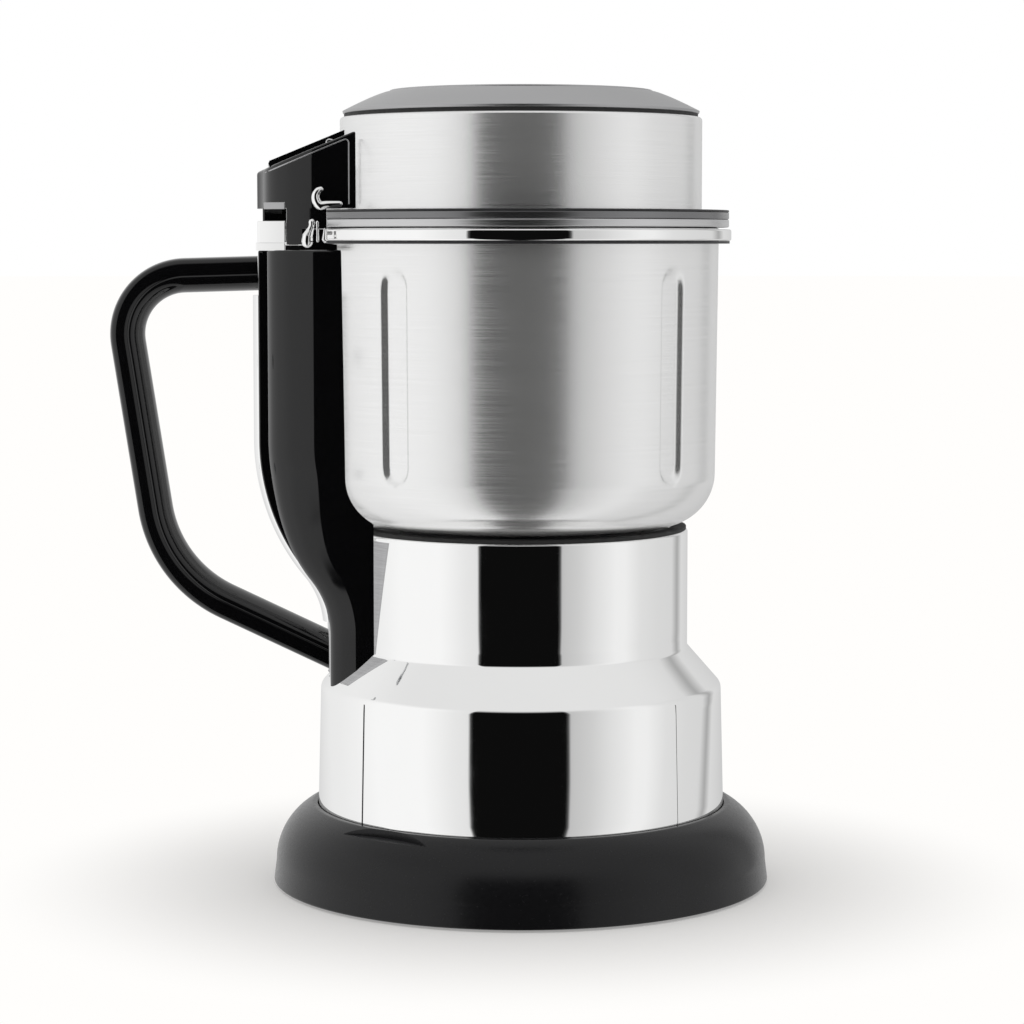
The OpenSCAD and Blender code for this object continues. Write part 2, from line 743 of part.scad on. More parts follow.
// The threaded housing that passes through the jar's floor and carries the blade shaft
module blade_housing() color(steel) difference() {
    union() {
        translate([0, 0, housing_z]) cylinder(r = housing_r, h = housing_top - housing_z);
        translate([0, 0, jar_z + jar_t + seat_gap]) cylinder(r = housing_flange_r, h = 2.4);
        translate([0, 0, jar_z + jar_t + 2.4]) cylinder(r1 = 14, r2 = housing_r, h = 5);
    }
    translate([0, 0, housing_z - over]) cylinder(r = shaft_r + 2, h = housing_top);
}

module bush() color(brass) for (z = [housing_z, housing_top - 9])
    translate([0, 0, z]) ring(shaft_r + 2 - 0.01, shaft_r + running_gap, 6);

module shaft_seal() color(black) translate([0, 0, housing_top - 2.8])
    ring(shaft_r + 2 - 0.01, shaft_r + running_gap, 2.6);

module housing_nut() color(steel) translate([0, 0, jar_z - seat_gap - 4.6]) difference() {
    cylinder(r = housing_r + 5, h = 4.6, $fn = 6);
    translate([0, 0, -over]) cylinder(r = housing_r + seat_gap, h = 7);
}

module blade_shaft() color(steel) {
    translate([0, 0, driven_top]) cylinder(r = shaft_r, h = blades_z + 9 - driven_top);
    translate([0, 0, driven_top - 1]) cylinder(r = shaft_r - 0.85, h = 6);
}

// One blade arm: flat at its root, with a pointed tip that is bent up or down
module blade_arm(bend) {
    root = blade_reach * 0.38;
    rise = (blade_reach - root) * tan(bend);
    intersection() {
        plate_y(-blade_w, blade_w) polygon([
            [-3, 0], [root, 0], [blade_reach, rise], [blade_reach, rise + blade_t],
            [root, blade_t], [-3, blade_t]
        ]);
        translate([0, 0, -blade_reach]) linear_extrude(2 * blade_reach) polygon([
            [-3, -blade_w / 2], [blade_reach - 6, -blade_w / 2], [blade_reach, blade_w * 0.1],
            [blade_reach - 4, blade_w / 2], [-3, blade_w / 2]
        ]);
    }
}

module blades() color(steel) difference() {
    union() {
        translate([0, 0, blades_z]) around(2, 20) blade_arm(-blade_bend * 0.6);
        translate([0, 0, blades_z + blade_t]) around(2, 110) blade_arm(blade_bend);
    }
    translate([0, 0, blades_z - over]) cylinder(r = shaft_r, h = 3 * blade_t + over);
}

module blade_nut() color(steel) translate([0, 0, blades_z + 2 * blade_t + seat_gap]) difference() {
    union() {
        cylinder(r = 7, h = 5, $fn = 6);
        translate([0, 0, 4]) intersection() {
            sphere(r = 6);
            cylinder(r = 6, h = 6);
        }
    }
    translate([0, 0, -over]) cylinder(r = shaft_r, h = 7);
}

// ---- Spine and handle ----

// The round space inside the spine: the jar with its bottom corner, the neck and the saddle's seat
module spine_bore() {
    g = seat_gap + 0.1;
    corner = jar_corner + g;
    centre = [jar_low_r - jar_corner, jar_z + jar_corner];
    inner = neck_seat_r + move_gap;
    first = acos((inner - centre[0]) / corner);
    rotate_extrude() polygon([
        [0, shoulder_z - 6], [saddle_r + 8, shoulder_z - 6], [saddle_r + 8, saddle_z + move_gap - 8],
        [inner, neck_seat_z + 1.4 * move_gap],
        for (i = [0:10])
            centre + corner * [cos(first * (1 - i / 10)), -sin(first * (1 - i / 10))],
        [jar_r + g, jar_top - rim_h - 4], [jar_r + g, lid_z], [0, lid_z]
    ]);
}

module spine() color(black) difference() {
    union() {
        spine_loft();
        // The raised head beside the leg of the hinge block
        translate([hinge_x + 8, -spine_half, spine_top - 3])
            cube([-hinge_x - 8 - jar_low_r + 4, 2 * spine_half, lid_z - 0.7 - spine_top + 3]);
    }
    spine_bore();
    // The hinge bracket's seat, and the room in which the leg of the block turns
    translate([bracket_x[0] - 20, -body_r, spine_top - bracket_t]) cube([bracket_x[1] - bracket_x[0] + 20.1, 2 * body_r, 40]);
    difference() {
        pin_y(hinge_x, hinge_z, leg_r + move_gap, -body_r, body_r);
        translate([hinge_x - 40, -body_r, 0]) cube([80, 2 * body_r, spine_top]);
    }
    translate([rod_low[0], 0, rod_low[1]]) rotate([0, -rod_tilt, 0]) translate([0, 0, -20])
        cylinder(r = rod_r + slide_gap, h = rod_len + 40);
    translate([plunger_x, 0, spine_top - 4]) cylinder(r = plunger_r + 2 * slide_gap, h = 20);
    translate([rod_low[0], 0, shoulder_z]) cylinder(r = guide_r, h = rod_low[1] + 1 - shoulder_z);
    rim_low = jar_top - 0.3 - rim_h;
    translate([0, 0, rim_low - 0.1]) intersection() {
        cylinder(r = rim_r + 0.1, h = rim_h + 10);
        translate([-flat_x - 0.1, -body_r, -over]) cube([40, 2 * body_r, rim_h + 20]);
    }
}

trim_top = arm_z - grip_t / 2 - 0.4;
trim_low = tail_z + 6;
module spine_trim() color(bright) intersection() {
    along_spine(trim_top, tail_z - 2)
        translate([seat_gap, -spine_half + spine_corner - 0.5])
            square([trim_t - seat_gap, 2 * (spine_half - spine_corner) + 1]);
    translate([-2 * spine_reach, -body_r, trim_low + 2])
        cube([4 * spine_reach, 2 * body_r, trim_top - trim_low - 2]);
}

module push_rod() color(steel) translate([rod_low[0], 0, rod_low[1]]) rotate([0, -rod_tilt, 0])
    cylinder(r = rod_r, h = rod_len);

// The handle's middle line: its outer end, its two corners and its end at the tail
elbow = [-elbow_reach, elbow_z];
handle_path = [
    [-spine_reach - seat_gap, arm_z], [-handle_reach, arm_z], elbow,
    [-tail_reach + 8, elbow_z - (elbow_reach - tail_reach + 8) * tan(arm_slope)]
];
function heading(a, b) = atan2(b[1] - a[1], b[0] - a[0]);
function turn(i) = (heading(handle_path[i], handle_path[i + 1])
    - heading(handle_path[i - 1], handle_path[i]) + 360) % 360;
function setback(i) = i == 0 || i == len(handle_path) - 1 ? 0 : handle_bend * tan(turn(i) / 2);
function toward(a, b, d) = a + d * (b - a) / norm(b - a);

// Stations along the handle's middle line: [x, z, heading], with the bends in equal steps
bend_steps = 9;
function inner(i) = i > 0 && i < len(handle_path) - 1;
handle_stations = [
    for (i = [0:len(handle_path) - 1])
        let (
            h0 = heading(handle_path[max(i - 1, 0)], handle_path[max(i, 1)]),
            start = inner(i) ? toward(handle_path[i], handle_path[i - 1], setback(i)) : handle_path[i],
            centre = start + handle_bend * [-sin(h0), cos(h0)]
        )
        for (k = [0:inner(i) ? bend_steps : 0])
            let (h = k == 0 ? h0 : h0 + turn(i) * k / bend_steps)
            [centre[0] + handle_bend * sin(h), centre[1] - handle_bend * cos(h), h]
];

// Half of the handle's rounded section, from the parting line outwards: [out of the loop, along Y]
edge_steps = 7;
grip_corner = [
    for (i = [0:edge_steps])
        [grip_t / 2 - grip_edge * (1 - sin(i * 90 / edge_steps)),
         grip_w / 2 - grip_edge * (1 - cos(i * 90 / edge_steps))]
];
grip_half = concat(
    [[0, grip_w / 2]], grip_corner,
    [for (i = [edge_steps:-1:0]) [grip_corner[i][0], -grip_corner[i][1]]], [[0, -grip_w / 2]]
);

// One half of the handle, as a loft of that section through the stations
module along_handle(side) {
    n = len(grip_half);
    m = len(handle_stations);
    polyhedron(
        points = [for (s = handle_stations, p = grip_half)
            [s[0] + side * p[0] * sin(s[2]), -side * p[1], s[1] - side * p[0] * cos(s[2])]],
        faces = concat(
            [[for (k = [0:n - 1]) k]],
            [for (i = [0:m - 2], k = [0:n - 1])
                [i * n + (k + 1) % n, i * n + k, (i + 1) * n + k, (i + 1) * n + (k + 1) % n]],
            [[for (k = [n - 1:-1:0]) (m - 1) * n + k]]
        ),
        convexity = 6
    );
}

module handle_half(side) {
    difference() {
        along_handle(side);
        // The lower arm ends against the spine's curved outer face
        difference() {
            translate([-tail_reach - 8, -grip_w, elbow_z - 50]) cube([30, 2 * grip_w, 60]);
            pin_y(-tail_reach - spine_lower_r, tail_z, spine_lower_r - seat_gap, -2 * grip_w, 2 * grip_w);
            translate([-tail_reach - 10 - seat_gap, -2 * grip_w, elbow_z - 52])
                cube([10, 4 * grip_w, tail_z - elbow_z + 52]);
        }
        handle_screw_form(0.1);
    }
}

// Screws that clamp the handle's halves together, from the side of the hand's palm
grip_angle = heading(handle_path[1], handle_path[2]);
module handle_screw_form(grow) {
    for (share = [0.3, 0.72]) {
        p = handle_path[1] + share * (elbow - handle_path[1]);
        translate([p[0], 0, p[1]]) rotate([0, 180 - grip_angle, 0]) {
            translate([0, 0, grip_t / 2 - 4.5]) cylinder(r = 3 + grow, h = 2.4 + (grow > 0 ? 4 : 0));
            translate([0, 0, -4 - grow]) cylinder(r = 1.5 + grow / 2, h = grip_t / 2);
        }
    }
}

module handle_outer() color(black) handle_half(1);
module handle_inner() color(black) handle_half(-1);
module handle_screws() color(steel) handle_screw_form(0);

// ---- Hinge ----

module hinge_bracket() color(bright) difference() {
    union() {
        translate([bracket_x[0], -ear_y, spine_top - bracket_t + seat_gap])
            cube([bracket_x[1] - bracket_x[0], 2 * ear_y, bracket_t - seat_gap]);
        for (s = [-1, 1]) translate([ear_x[0], s > 0 ? ear_y - ear_t : -ear_y, spine_top - over])
            cube([ear_x[1] - ear_x[0], ear_t, ear_top - spine_top + over]);
    }
    pin_y(hinge_x, hinge_z, pin_r + 0.01, -ear_y + 0.8, ear_y - 0.8);
}

module hinge_pin() color(steel) pin_y(hinge_x, hinge_z, pin_r, -ear_y + 0.9, ear_y - 0.9);

clip_x = hinge_x + 10.8;
clip_y = -spine_half - 0.4;
module keeper_clip() color(bright) {
    plate_y(clip_y - 1.4, clip_y) {
        translate([clip_x, spine_top + 0.4]) square([3, hinge_z + 1 - spine_top]);
        polygon([
            [clip_x, hinge_z + 1.2], [clip_x + 3, hinge_z + 1.2], [clip_x + 4.2, hinge_z + 2.2],
            [clip_x + 3.6, hinge_z + 4], [clip_x + 2.4, hinge_z + 3.6]
        ]);
        translate([clip_x + 2, spine_top + 0.4]) square([7, 3.4]);
    }
    translate([hinge_x + leg_r + 1.6, clip_y - 0.4, spine_top + 0.4])
        cube([5, -spine_half - clip_y + 0.4, 3.4]);
}

// ---- Lid ----

module lid_wall() color(steel) difference() {
    union() {
        translate([0, 0, lid_z]) cylinder(r = lid_r, h = lid_h - 1);
        translate([0, 0, lid_top_z - 1.1]) rotate_extrude() intersection() {
            translate([lid_r - 1.1, 0]) circle(1.1);
            square([lid_r + over, 1.1]);
        }
        translate([0, 0, lid_top_z - 1.1]) cylinder(r = lid_r - 1.1, h = 1.1);
    }
    translate([0, 0, lid_z - over]) cylinder(r = lid_r - 1, h = lid_h - 1 + over);
    translate([0, 0, lid_z]) cylinder(r = lid_r - 6, h = lid_h + over);
    block_screw_form(0.1);
}

module groove_ring() color(black) translate([0, 0, lid_top_z])
    ring(lid_r - 1.6, lid_r - 7, dome_z - lid_top_z);

// The top: a crowned cone that is drawn in to a flat
module lid_top() color("darkgray") difference() {
    rotate_extrude() polygon([
        [0, dome_z], [lid_r - 1.4, dome_z], [lid_r - 0.9, dome_z + 0.6],
        for (i = [0:10])
            let (s = i / 10)
                [lid_r - 1 - (lid_r - 1 - disc_r) * s,
                 dome_z + 1 + (dome_h - 1) * (1 - pow(1 - s, 1.2))],
        [0, crown_z]
    ]);
    translate([0, 0, crown_z - 0.8]) cylinder(r = disc_r - 1, h = 2);
}

module top_disc() color(dark) translate([0, 0, crown_z - 0.8 + seat_gap])
    cylinder(r = disc_r - 1 - seat_gap, h = 1.4);

module lid_flange(z, h, bevel) {
    flat_at_hinge(z, h) translate([0, 0, z]) rotate_extrude() polygon([
        [lid_r + seat_gap, 0], [lid_ring_r - bevel, 0], [lid_ring_r, bevel],
        [lid_ring_r, h - bevel], [lid_ring_r - bevel, h], [lid_r + seat_gap, h]
    ]);
}

module lid_ring() color(bright) lid_flange(lid_z, lid_ring_h, 0.5);
module seal_carrier() color(dark) lid_flange(carrier_z + seat_gap, carrier_h - seat_gap, 0.7);

module lid_liner() color(steel) difference() {
    translate([0, 0, lid_z - 1]) cylinder(r = lid_r - 1 - seat_gap, h = 3);
    translate([0, 0, lid_z + 0.2]) cylinder(r = lid_r - 2.4, h = 4);
}

module lid_gasket() color("whitesmoke") translate([0, 0, lid_z - 5])
    rotate_extrude() polygon([
        [lid_r - 6, 0], [jar_r - jar_t - 3.2, 0], [jar_r - jar_t - 2.2, 1.4],
        [jar_r - jar_t - 1.2, 4.95], [lid_r + 0.2, 4.95], [lid_r + 0.2, 3.95], [lid_r - 6, 3.95]
    ]);

// The block's side outline above the flanges
module block_outline(inset) {
    slope = tan(block_slope);
    right = -lid_r + 6;
    polygon([
        [block_x + inset, flange_top + 0.3 + inset], [block_x + inset, block_face_z - inset],
        [right - inset, block_face_z + (right - block_x) * slope - inset],
        [right - inset, flange_top + 0.3 + inset]
    ]);
}

module block_pocket() {
    translate([block_x, 0, block_face_z]) rotate([0, -block_slope, 0])
        translate([lever_start - 0.5, -lever_half - 0.4, -pocket_depth])
            cube([2 * lid_r, 2 * lever_half + 0.8, 3 * pocket_depth]);
}

block_bevel = 2;
module hinge_block() color(black) difference() {
    union() {
        hull() {
            plate_y(block_bevel - spine_half, spine_half - block_bevel) block_outline(0);
            plate_y(-spine_half, spine_half) block_outline(block_bevel);
        }
        // The leg that turns on the pin, and the skirt beside the flanges
        intersection() {
            translate([block_x, -spine_half, block_low])
                cube([-block_x - flat_x, 2 * spine_half, flange_top + 3 - block_low]);
            union() {
                pin_y(hinge_x, hinge_z, leg_r, -spine_half, spine_half);
                translate([block_x, -spine_half, lid_z])
                    cube([-block_x, 2 * spine_half, flange_top + 3 - lid_z]);
            }
            union() {
                pin_y(hinge_x, hinge_z, knuckle_r, -spine_half, spine_half);
                translate([hinge_x, -spine_half, block_low]) cube([-hinge_x, 2 * spine_half, 30]);
                translate([block_x, -spine_half, hinge_z]) cube([-block_x, 2 * spine_half, 30]);
            }
        }
    }
    cylinder(r = lid_r + 0.1, h = 2 * crown_z);
    difference() {
        translate([0, 0, lid_z - over]) cylinder(r = lid_ring_r + 0.1, h = flange_top - lid_z + over + 0.3);
        translate([-flat_x - 40 - seat_gap, -body_r, 0]) cube([40, 2 * body_r, 2 * crown_z]);
    }
    // Room for the ears of the bracket
    for (s = [-1, 1]) translate([block_x - over, s > 0 ? recess_y : -recess_y - 20, block_low - over])
        cube([recess_x - block_x + over, 20, recess_top - block_low + over]);
    pin_y(hinge_x, hinge_z, pin_r + running_gap, -body_r, body_r);
    block_pocket();
    translate([plunger_x, 0, block_low - over]) cylinder(r = plunger_r + slide_gap, h = 2 * block_h);
    lever_frame() pin_y(lever_pivot, -0.4, 1.51, -lever_half - 3.1, lever_half + 3.1);
    pin_y(catch_x, catch_z, 1.31, -spine_half - 1, -spine_half + 5);
    block_screw_form(0.05);
}

module lever_frame() {
    translate([block_x, 0, block_face_z]) rotate([0, -block_slope, 0]) children();
}

module run_lever() color(black) difference() {
    lever_frame() difference() {
        plate_y(-lever_half, lever_half) polygon([
            [lever_start, -lever_sunk], [lever_start, lever_t - lever_sunk - 0.8],
            [lever_start + 0.8, lever_t - lever_sunk], [lever_pivot + 8, lever_t - lever_sunk],
            [lever_pivot + 8, -lever_sunk]
        ]);
        pin_y(lever_pivot, -0.4, 1.5 + running_gap, -body_r, body_r);
    }
    cylinder(r = lid_r + 0.9, h = 2 * crown_z);
}

module lever_plunger() color("whitesmoke") translate([plunger_x, 0, plunger_low])
    cylinder(r = plunger_r, h = plunger_high - plunger_low);

// The catch on the front side of the block: a bar that ends in a curled finger tab
catch_x = hinge_x + 24.6;
catch_z = flange_top + 2.5;
catch_y = -spine_half - 0.4;
module catch_lever() color(bright) difference() {
    plate_y(catch_y - 2.4, catch_y) {
        translate([catch_x, catch_z]) circle(2);
        translate([catch_x - 9, catch_z - 1.4]) square([9, 2.6]);
        translate([catch_x - 6.2, catch_z + 3.2]) difference() {
            circle(4.8);
            translate([0.9, 0.7]) circle(3.2);
            polygon([[0, 0], [12, -1.4], [12, 12], [-0.6, 12]]);
        }
    }
    pin_y(catch_x, catch_z, 1.3 + running_gap, catch_y - 5, catch_y + 5);
}

// The run lever's pin and the catch's shoulder pin
module block_pins() color(steel) {
    lever_frame() pin_y(lever_pivot, -0.4, 1.5, -lever_half - 3, lever_half + 3);
    pin_y(catch_x, catch_z, 1.3, catch_y - 2.9, -spine_half + 4.9);
    pin_y(catch_x, catch_z, 1.9, catch_y - 3.5, catch_y - 2.7);
}

// Screws that hold the block to the lid's wall, driven from inside the lid
module block_screw_form(grow) {
    for (y = [-12, 12], z = [flange_top + 7, flange_top + 14])
        translate([-lid_r + 4, y, z]) rotate([0, -90, 0])
            cylinder(r = 1.6 + grow, h = 9 + grow);
}

module block_screws() color(steel) {
    block_screw_form(0);
    for (y = [-12, 12], z = [flange_top + 7, flange_top + 14])
        translate([-lid_r + 2.5, y, z]) rotate([0, 90, 0]) cylinder(r = 2.8, h = 1.7);
}

foot_ring();
anti_slip_ring();
base_plate();
base_screws();
body_shell();
front_panel();
deck();
seat_ring();
tail_saddle();
cord_gland();
motor_mounts();
top_bracket();
bottom_bracket();
motor_bolts();
stator();
field_coils();
brush_holders();
brushes();
bearings();
motor_shaft();
rotor_core();
commutator();
cooling_fan();
drive_coupling();
microswitch();
switch_plunger();
jar();
rim_ring();
jar_collar();
blade_housing();
bush();
shaft_seal();
housing_nut();
blade_shaft();
blades();
blade_nut();
driven_coupling();
spine();
spine_trim();
push_rod();
handle_outer();
handle_inner();
handle_screws();
hinge_bracket();
hinge_pin();
keeper_clip();
lid_wall();
lid_top();
top_disc();
groove_ring();
lid_ring();
seal_carrier();
lid_gasket();
lid_liner();
hinge_block();
lever_plunger();
run_lever();
catch_lever();
block_pins();
block_screws();
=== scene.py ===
"""Milkshake mixer: fine surfaces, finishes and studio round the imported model."""
import json
import logging
import math
from dataclasses import dataclass, field
from enum import Enum
from typing import Callable, Sequence

import bmesh
import bpy
import numpy as np
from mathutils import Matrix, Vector


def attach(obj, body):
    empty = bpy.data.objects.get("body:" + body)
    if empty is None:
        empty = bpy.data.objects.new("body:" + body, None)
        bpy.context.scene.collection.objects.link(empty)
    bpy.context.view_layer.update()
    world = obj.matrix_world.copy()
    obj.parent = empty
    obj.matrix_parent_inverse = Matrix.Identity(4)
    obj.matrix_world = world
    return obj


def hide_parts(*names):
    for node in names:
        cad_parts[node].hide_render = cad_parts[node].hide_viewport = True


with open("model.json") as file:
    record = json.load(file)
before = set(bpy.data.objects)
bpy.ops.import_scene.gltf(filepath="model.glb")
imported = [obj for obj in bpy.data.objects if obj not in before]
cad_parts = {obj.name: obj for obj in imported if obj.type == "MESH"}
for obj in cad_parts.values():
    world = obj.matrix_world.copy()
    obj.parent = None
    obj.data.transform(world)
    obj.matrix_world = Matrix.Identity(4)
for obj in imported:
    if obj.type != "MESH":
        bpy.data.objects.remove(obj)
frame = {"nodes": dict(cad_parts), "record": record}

log = logging.getLogger("mixer")
MM = 0.001
Array = np.ndarray


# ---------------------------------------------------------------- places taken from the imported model

def pivot(joint: str) -> Array:
    """Place of a joint, in millimetres.

    Args:
        joint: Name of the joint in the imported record.

    Returns:
        An array of three numbers.
    """
    row = next(j for j in frame["record"]["behaviour"]["joints"] if j["name"] == joint)
    return np.array(row["pos_m"]) / MM


# ---------------------------------------------------------------- curves and surfaces

def rounded(points: Sequence[tuple[float, float]], radii: float | Sequence[float],
            steps: int = 5, closed: bool = True) -> Array:
    """A polygon whose corners are replaced by arcs.

    Each corner is cut back by radius / tan(half its angle), at most 0.48 of the shorter side,
    and the arc between the two cuts is a quadratic curve pulled to the corner.

    Args:
        points: Corners in order.
        radii: One radius, or one for each corner.
        steps: Segments of each arc.
        closed: Whether the last corner joins the first.

    Returns:
        An array of points.
    """
    p = np.asarray(points, float)
    n = len(p)
    r = np.full(n, radii, float) if np.isscalar(radii) else np.asarray(radii, float)
    out: list[Array] = []
    for i in range(n):
        if r[i] <= 0 or (not closed and i in (0, n - 1)):
            out.append(p[i][None])
            continue
        a, b = p[i - 1] - p[i], p[(i + 1) % n] - p[i]
        la, lb = np.linalg.norm(a), np.linalg.norm(b)
        half = 0.5 * math.acos(np.clip(a @ b / (la * lb), -1, 1))
        if half > 1.55:
            out.append(p[i][None])
            continue
        back = min(r[i] / math.tan(half), 0.48 * la, 0.48 * lb)
        radius = back * math.tan(half)
        start, end = p[i] + a / la * back, p[i] + b / lb * back
        bisector = (a / la + b / lb)
        centre = p[i] + bisector / np.linalg.norm(bisector) * radius / math.sin(half)
        t0 = math.atan2(*(start - centre)[::-1])
        t1 = math.atan2(*(end - centre)[::-1])
        sweep = (t1 - t0 + math.pi) % (2 * math.pi) - math.pi
        t = t0 + sweep * np.linspace(0, 1, steps + 1)
        out.append(centre + radius * np.stack([np.cos(t), np.sin(t)], 1))
    return np.concatenate(out)


def refined(points: Array, step: float, closed: bool = True) -> Array:
    """A polyline whose long sides are divided, so that no side is longer than step.

    Args:
        points: The polyline.
        step: Longest side.
        closed: Whether the last point joins the first.

    Returns:
        The finer polyline.
    """
    p = np.asarray(points, float)
    q = np.roll(p, -1, 0) if closed else p[1:]
    out = []
    for a, b in zip(p, q):
        n = max(1, math.ceil(np.linalg.norm(b - a) / step))
        out.append(a + (b - a) * (np.arange(n) / n)[:, None])
    if not closed:
        out.append(p[-1:])
    return np.concatenate(out)


def grid_faces(rows: int, cols: int, wrap_rows: bool, wrap_cols: bool) -> Array:
    """Corner indices of the quads of a grid of points.

    The quad at (i, j) joins (i, j), (i, j+1), (i+1, j+1) and (i+1, j), with indices taken round the
    grid in the wrapped directions.

    Args:
        rows: Number of rows.
        cols: Number of columns.
        wrap_rows: Whether the last row joins the first.
        wrap_cols: Whether the last column joins the first.

    Returns:
        An array of four indices for each quad.
    """
    i = np.arange(rows if wrap_rows else rows - 1)[:, None]
    j = np.arange(cols if wrap_cols else cols - 1)[None, :]
    i1, j1 = (i + 1) % rows, (j + 1) % cols
    quads = np.stack([i * cols + j, i * cols + j1, i1 * cols + j1, i1 * cols + j], -1)
    return quads.reshape(-1, 4)


def merged(name: str, parts: Sequence[tuple[Array, Array]], sharp: float = 30.0) -> bpy.types.Object:
    """One object from several shells of points and faces.

    Args:
        name: Name of the object.
        parts: Pairs of points in millimetres and faces of any length.
        sharp: Angle in degrees above which an edge stays sharp.

    Returns:
        The object, at the origin, with smooth shading.
    """
    mesh = bpy.data.meshes.new(name)
    points, faces, start = [], [], 0
    for p, f in parts:
        points.append(np.asarray(p, float).reshape(-1, 3) * MM)
        faces.extend((np.asarray(row) + start).tolist() for row in f)
        start += len(points[-1])
    mesh.from_pydata(np.concatenate(points), [], faces)
    mesh.validate()
    piece = bpy.data.objects.new(name, mesh)
    bpy.context.scene.collection.objects.link(piece)
    clean(mesh)
    mesh.shade_smooth()
    mesh.set_sharp_from_angle(angle=math.radians(sharp))
    return piece


def clean(mesh: bpy.types.Mesh) -> None:
    """Joins double points, drops empty faces and turns every face outwards.

    Args:
        mesh: The mesh to change.
    """
    work = bmesh.new()
    work.from_mesh(mesh)
    bmesh.ops.remove_doubles(work, verts=work.verts, dist=1e-6)
    bmesh.ops.dissolve_degenerate(work, edges=work.edges, dist=1e-7)
    bmesh.ops.recalc_face_normals(work, faces=work.faces)
    work.to_mesh(mesh)
    work.free()


def circle(count: int, radius: float = 1.0) -> Array:
    """Points of a circle about the origin."""
    a = np.linspace(0, 2 * np.pi, count + 1)[:-1]
    return np.stack([np.cos(a), np.sin(a)], 1) * radius


def box_loop(inner: float, outer: float, low: float, high: float, radii: float | Sequence[float],
             steps: int = 5) -> Array:
    """Section of a ring or disc: a rectangle of radius and height with rounded corners.

    Args:
        inner: Inner radius.
        outer: Outer radius.
        low: Lower face.
        high: Upper face.
        radii: One radius, or one for each corner, from the lower inner one by way of the outer two.
        steps: Segments of each corner.

    Returns:
        A closed loop of radius and height.
    """
    return rounded([(inner, low), (outer, low), (outer, high), (inner, high)], radii, steps)


def spun(angles: Array, rad: Array, high: Array) -> tuple[Array, Array]:
    """Closed shell of grids of radius and height as (angle, along the section).

    The point at (angle, s) is (radius cos angle, radius sin angle, height).

    Args:
        angles: Angle of each row, in radians, the last left out.
        rad: Radii.
        high: Heights.

    Returns:
        Points and faces.
    """
    a = angles[:, None]
    return np.stack([rad * np.cos(a), rad * np.sin(a), high], -1), grid_faces(*rad.shape, True, True)


def turned(profile: Array, angles: Array | None = None,
           warp: Callable[[Array, Array, Array], Array] | None = None) -> tuple[Array, Array]:
    """A closed profile of (radius, height) carried once round the axis.

    Args:
        profile: Closed loop of radius and height, in millimetres.
        angles: Angles in radians, the last left out; 256 even steps when left out.
        warp: Changes the radii, given grids of angle, radius and height.

    Returns:
        Points and faces.
    """
    a = np.linspace(0, 2 * np.pi, 257)[:-1] if angles is None else angles
    ang, rad = np.meshgrid(a, profile[:, 0], indexing="ij")
    high = np.broadcast_to(profile[:, 1], rad.shape)
    return spun(a, warp(ang, rad, high) if warp else rad, high)


def off_angle(angles: Array, degrees: float) -> Array:
    """How far angles are from a direction, in radians between -pi and pi."""
    return (angles - math.radians(degrees) + math.pi) % (2 * math.pi) - math.pi


def smooth(t: Array) -> Array:
    """The smooth step 3 t^2 - 2 t^3."""
    return t * t * (3 - 2 * t)


def second_finish(piece: bpy.types.Object, inside: Callable[[Array, Array, Array], Array]) -> None:
    """Gives a piece's second finish to the faces whose centre passes a test.

    Args:
        piece: The piece.
        inside: The test of (angle, radius, height), in radians and millimetres.
    """
    centre = np.empty(len(piece.data.polygons) * 3)
    piece.data.polygons.foreach_get("center", centre)
    x, y, z = centre.reshape(-1, 3).T / MM
    chosen = inside(np.arctan2(y, x), np.hypot(x, y), z)
    piece.data.polygons.foreach_set("material_index", chosen.astype(np.int32))


def round_angles(fine: Sequence[tuple[float, float]], count: int = 240, fine_step: float = 0.25) -> Array:
    """Angles of a full turn, in radians, with small steps in the named sectors.

    Args:
        fine: Sectors as pairs of degrees.
        count: Number of even steps round the turn.
        fine_step: Step in degrees inside the sectors.

    Returns:
        Sorted angles from 0 to a full turn, both ends included.
    """
    parts = [np.linspace(0, 360, count + 1)]
    parts += [np.arange(lo, hi, fine_step) % 360 for lo, hi in fine]
    return np.radians(np.unique(np.round(np.concatenate(parts), 4)))


def loft(sections: Array) -> tuple[Array, Array]:
    """A closed section carried through stations; the two ends are closed flat.

    Args:
        sections: Points as (station, around the section, 3).

    Returns:
        Points and faces.
    """
    m, n = sections.shape[:2]
    faces = grid_faces(m, n, False, True).tolist()
    faces.append(list(range(n)))
    faces.append(list(range((m - 1) * n, m * n))[::-1])
    return sections.reshape(-1, 3), faces


def inset(outline: Array, depths: Array) -> Array:
    """Copies of a closed outline, each moved inwards by its own depth.

    A point moves along the mean of its two sides' normals, divided by the cosine of half its turn.

    Args:
        outline: Closed outline of two coordinates.
        depths: Distance of each copy.

    Returns:
        Points as (copy, round the outline, 2).
    """
    q = np.asarray(outline, float)
    ahead, behind = np.roll(q, -1, 0) - q, q - np.roll(q, 1, 0)
    normals = [np.stack([v[:, 1], -v[:, 0]], 1) / np.maximum(np.linalg.norm(v, axis=1, keepdims=True), 1e-9)
               for v in (ahead, behind)]
    mean = normals[0] + normals[1]
    mean /= np.maximum((mean * normals[0]).sum(1, keepdims=True), 0.3)
    area = np.sum(q[:, 0] * np.roll(q[:, 1], -1) - np.roll(q[:, 0], -1) * q[:, 1])
    return q[None] - mean[None] * math.copysign(1, area) * np.asarray(depths)[:, None, None]


def edge_steps(edge: float, steps: int) -> tuple[Array, Array]:
    """A quarter circle at an edge as (inset, distance below the face), from its foot to the face."""
    t = np.linspace(0, np.pi / 2, steps + 1)
    return edge * (1 - np.cos(t)), edge * (1 - np.sin(t))


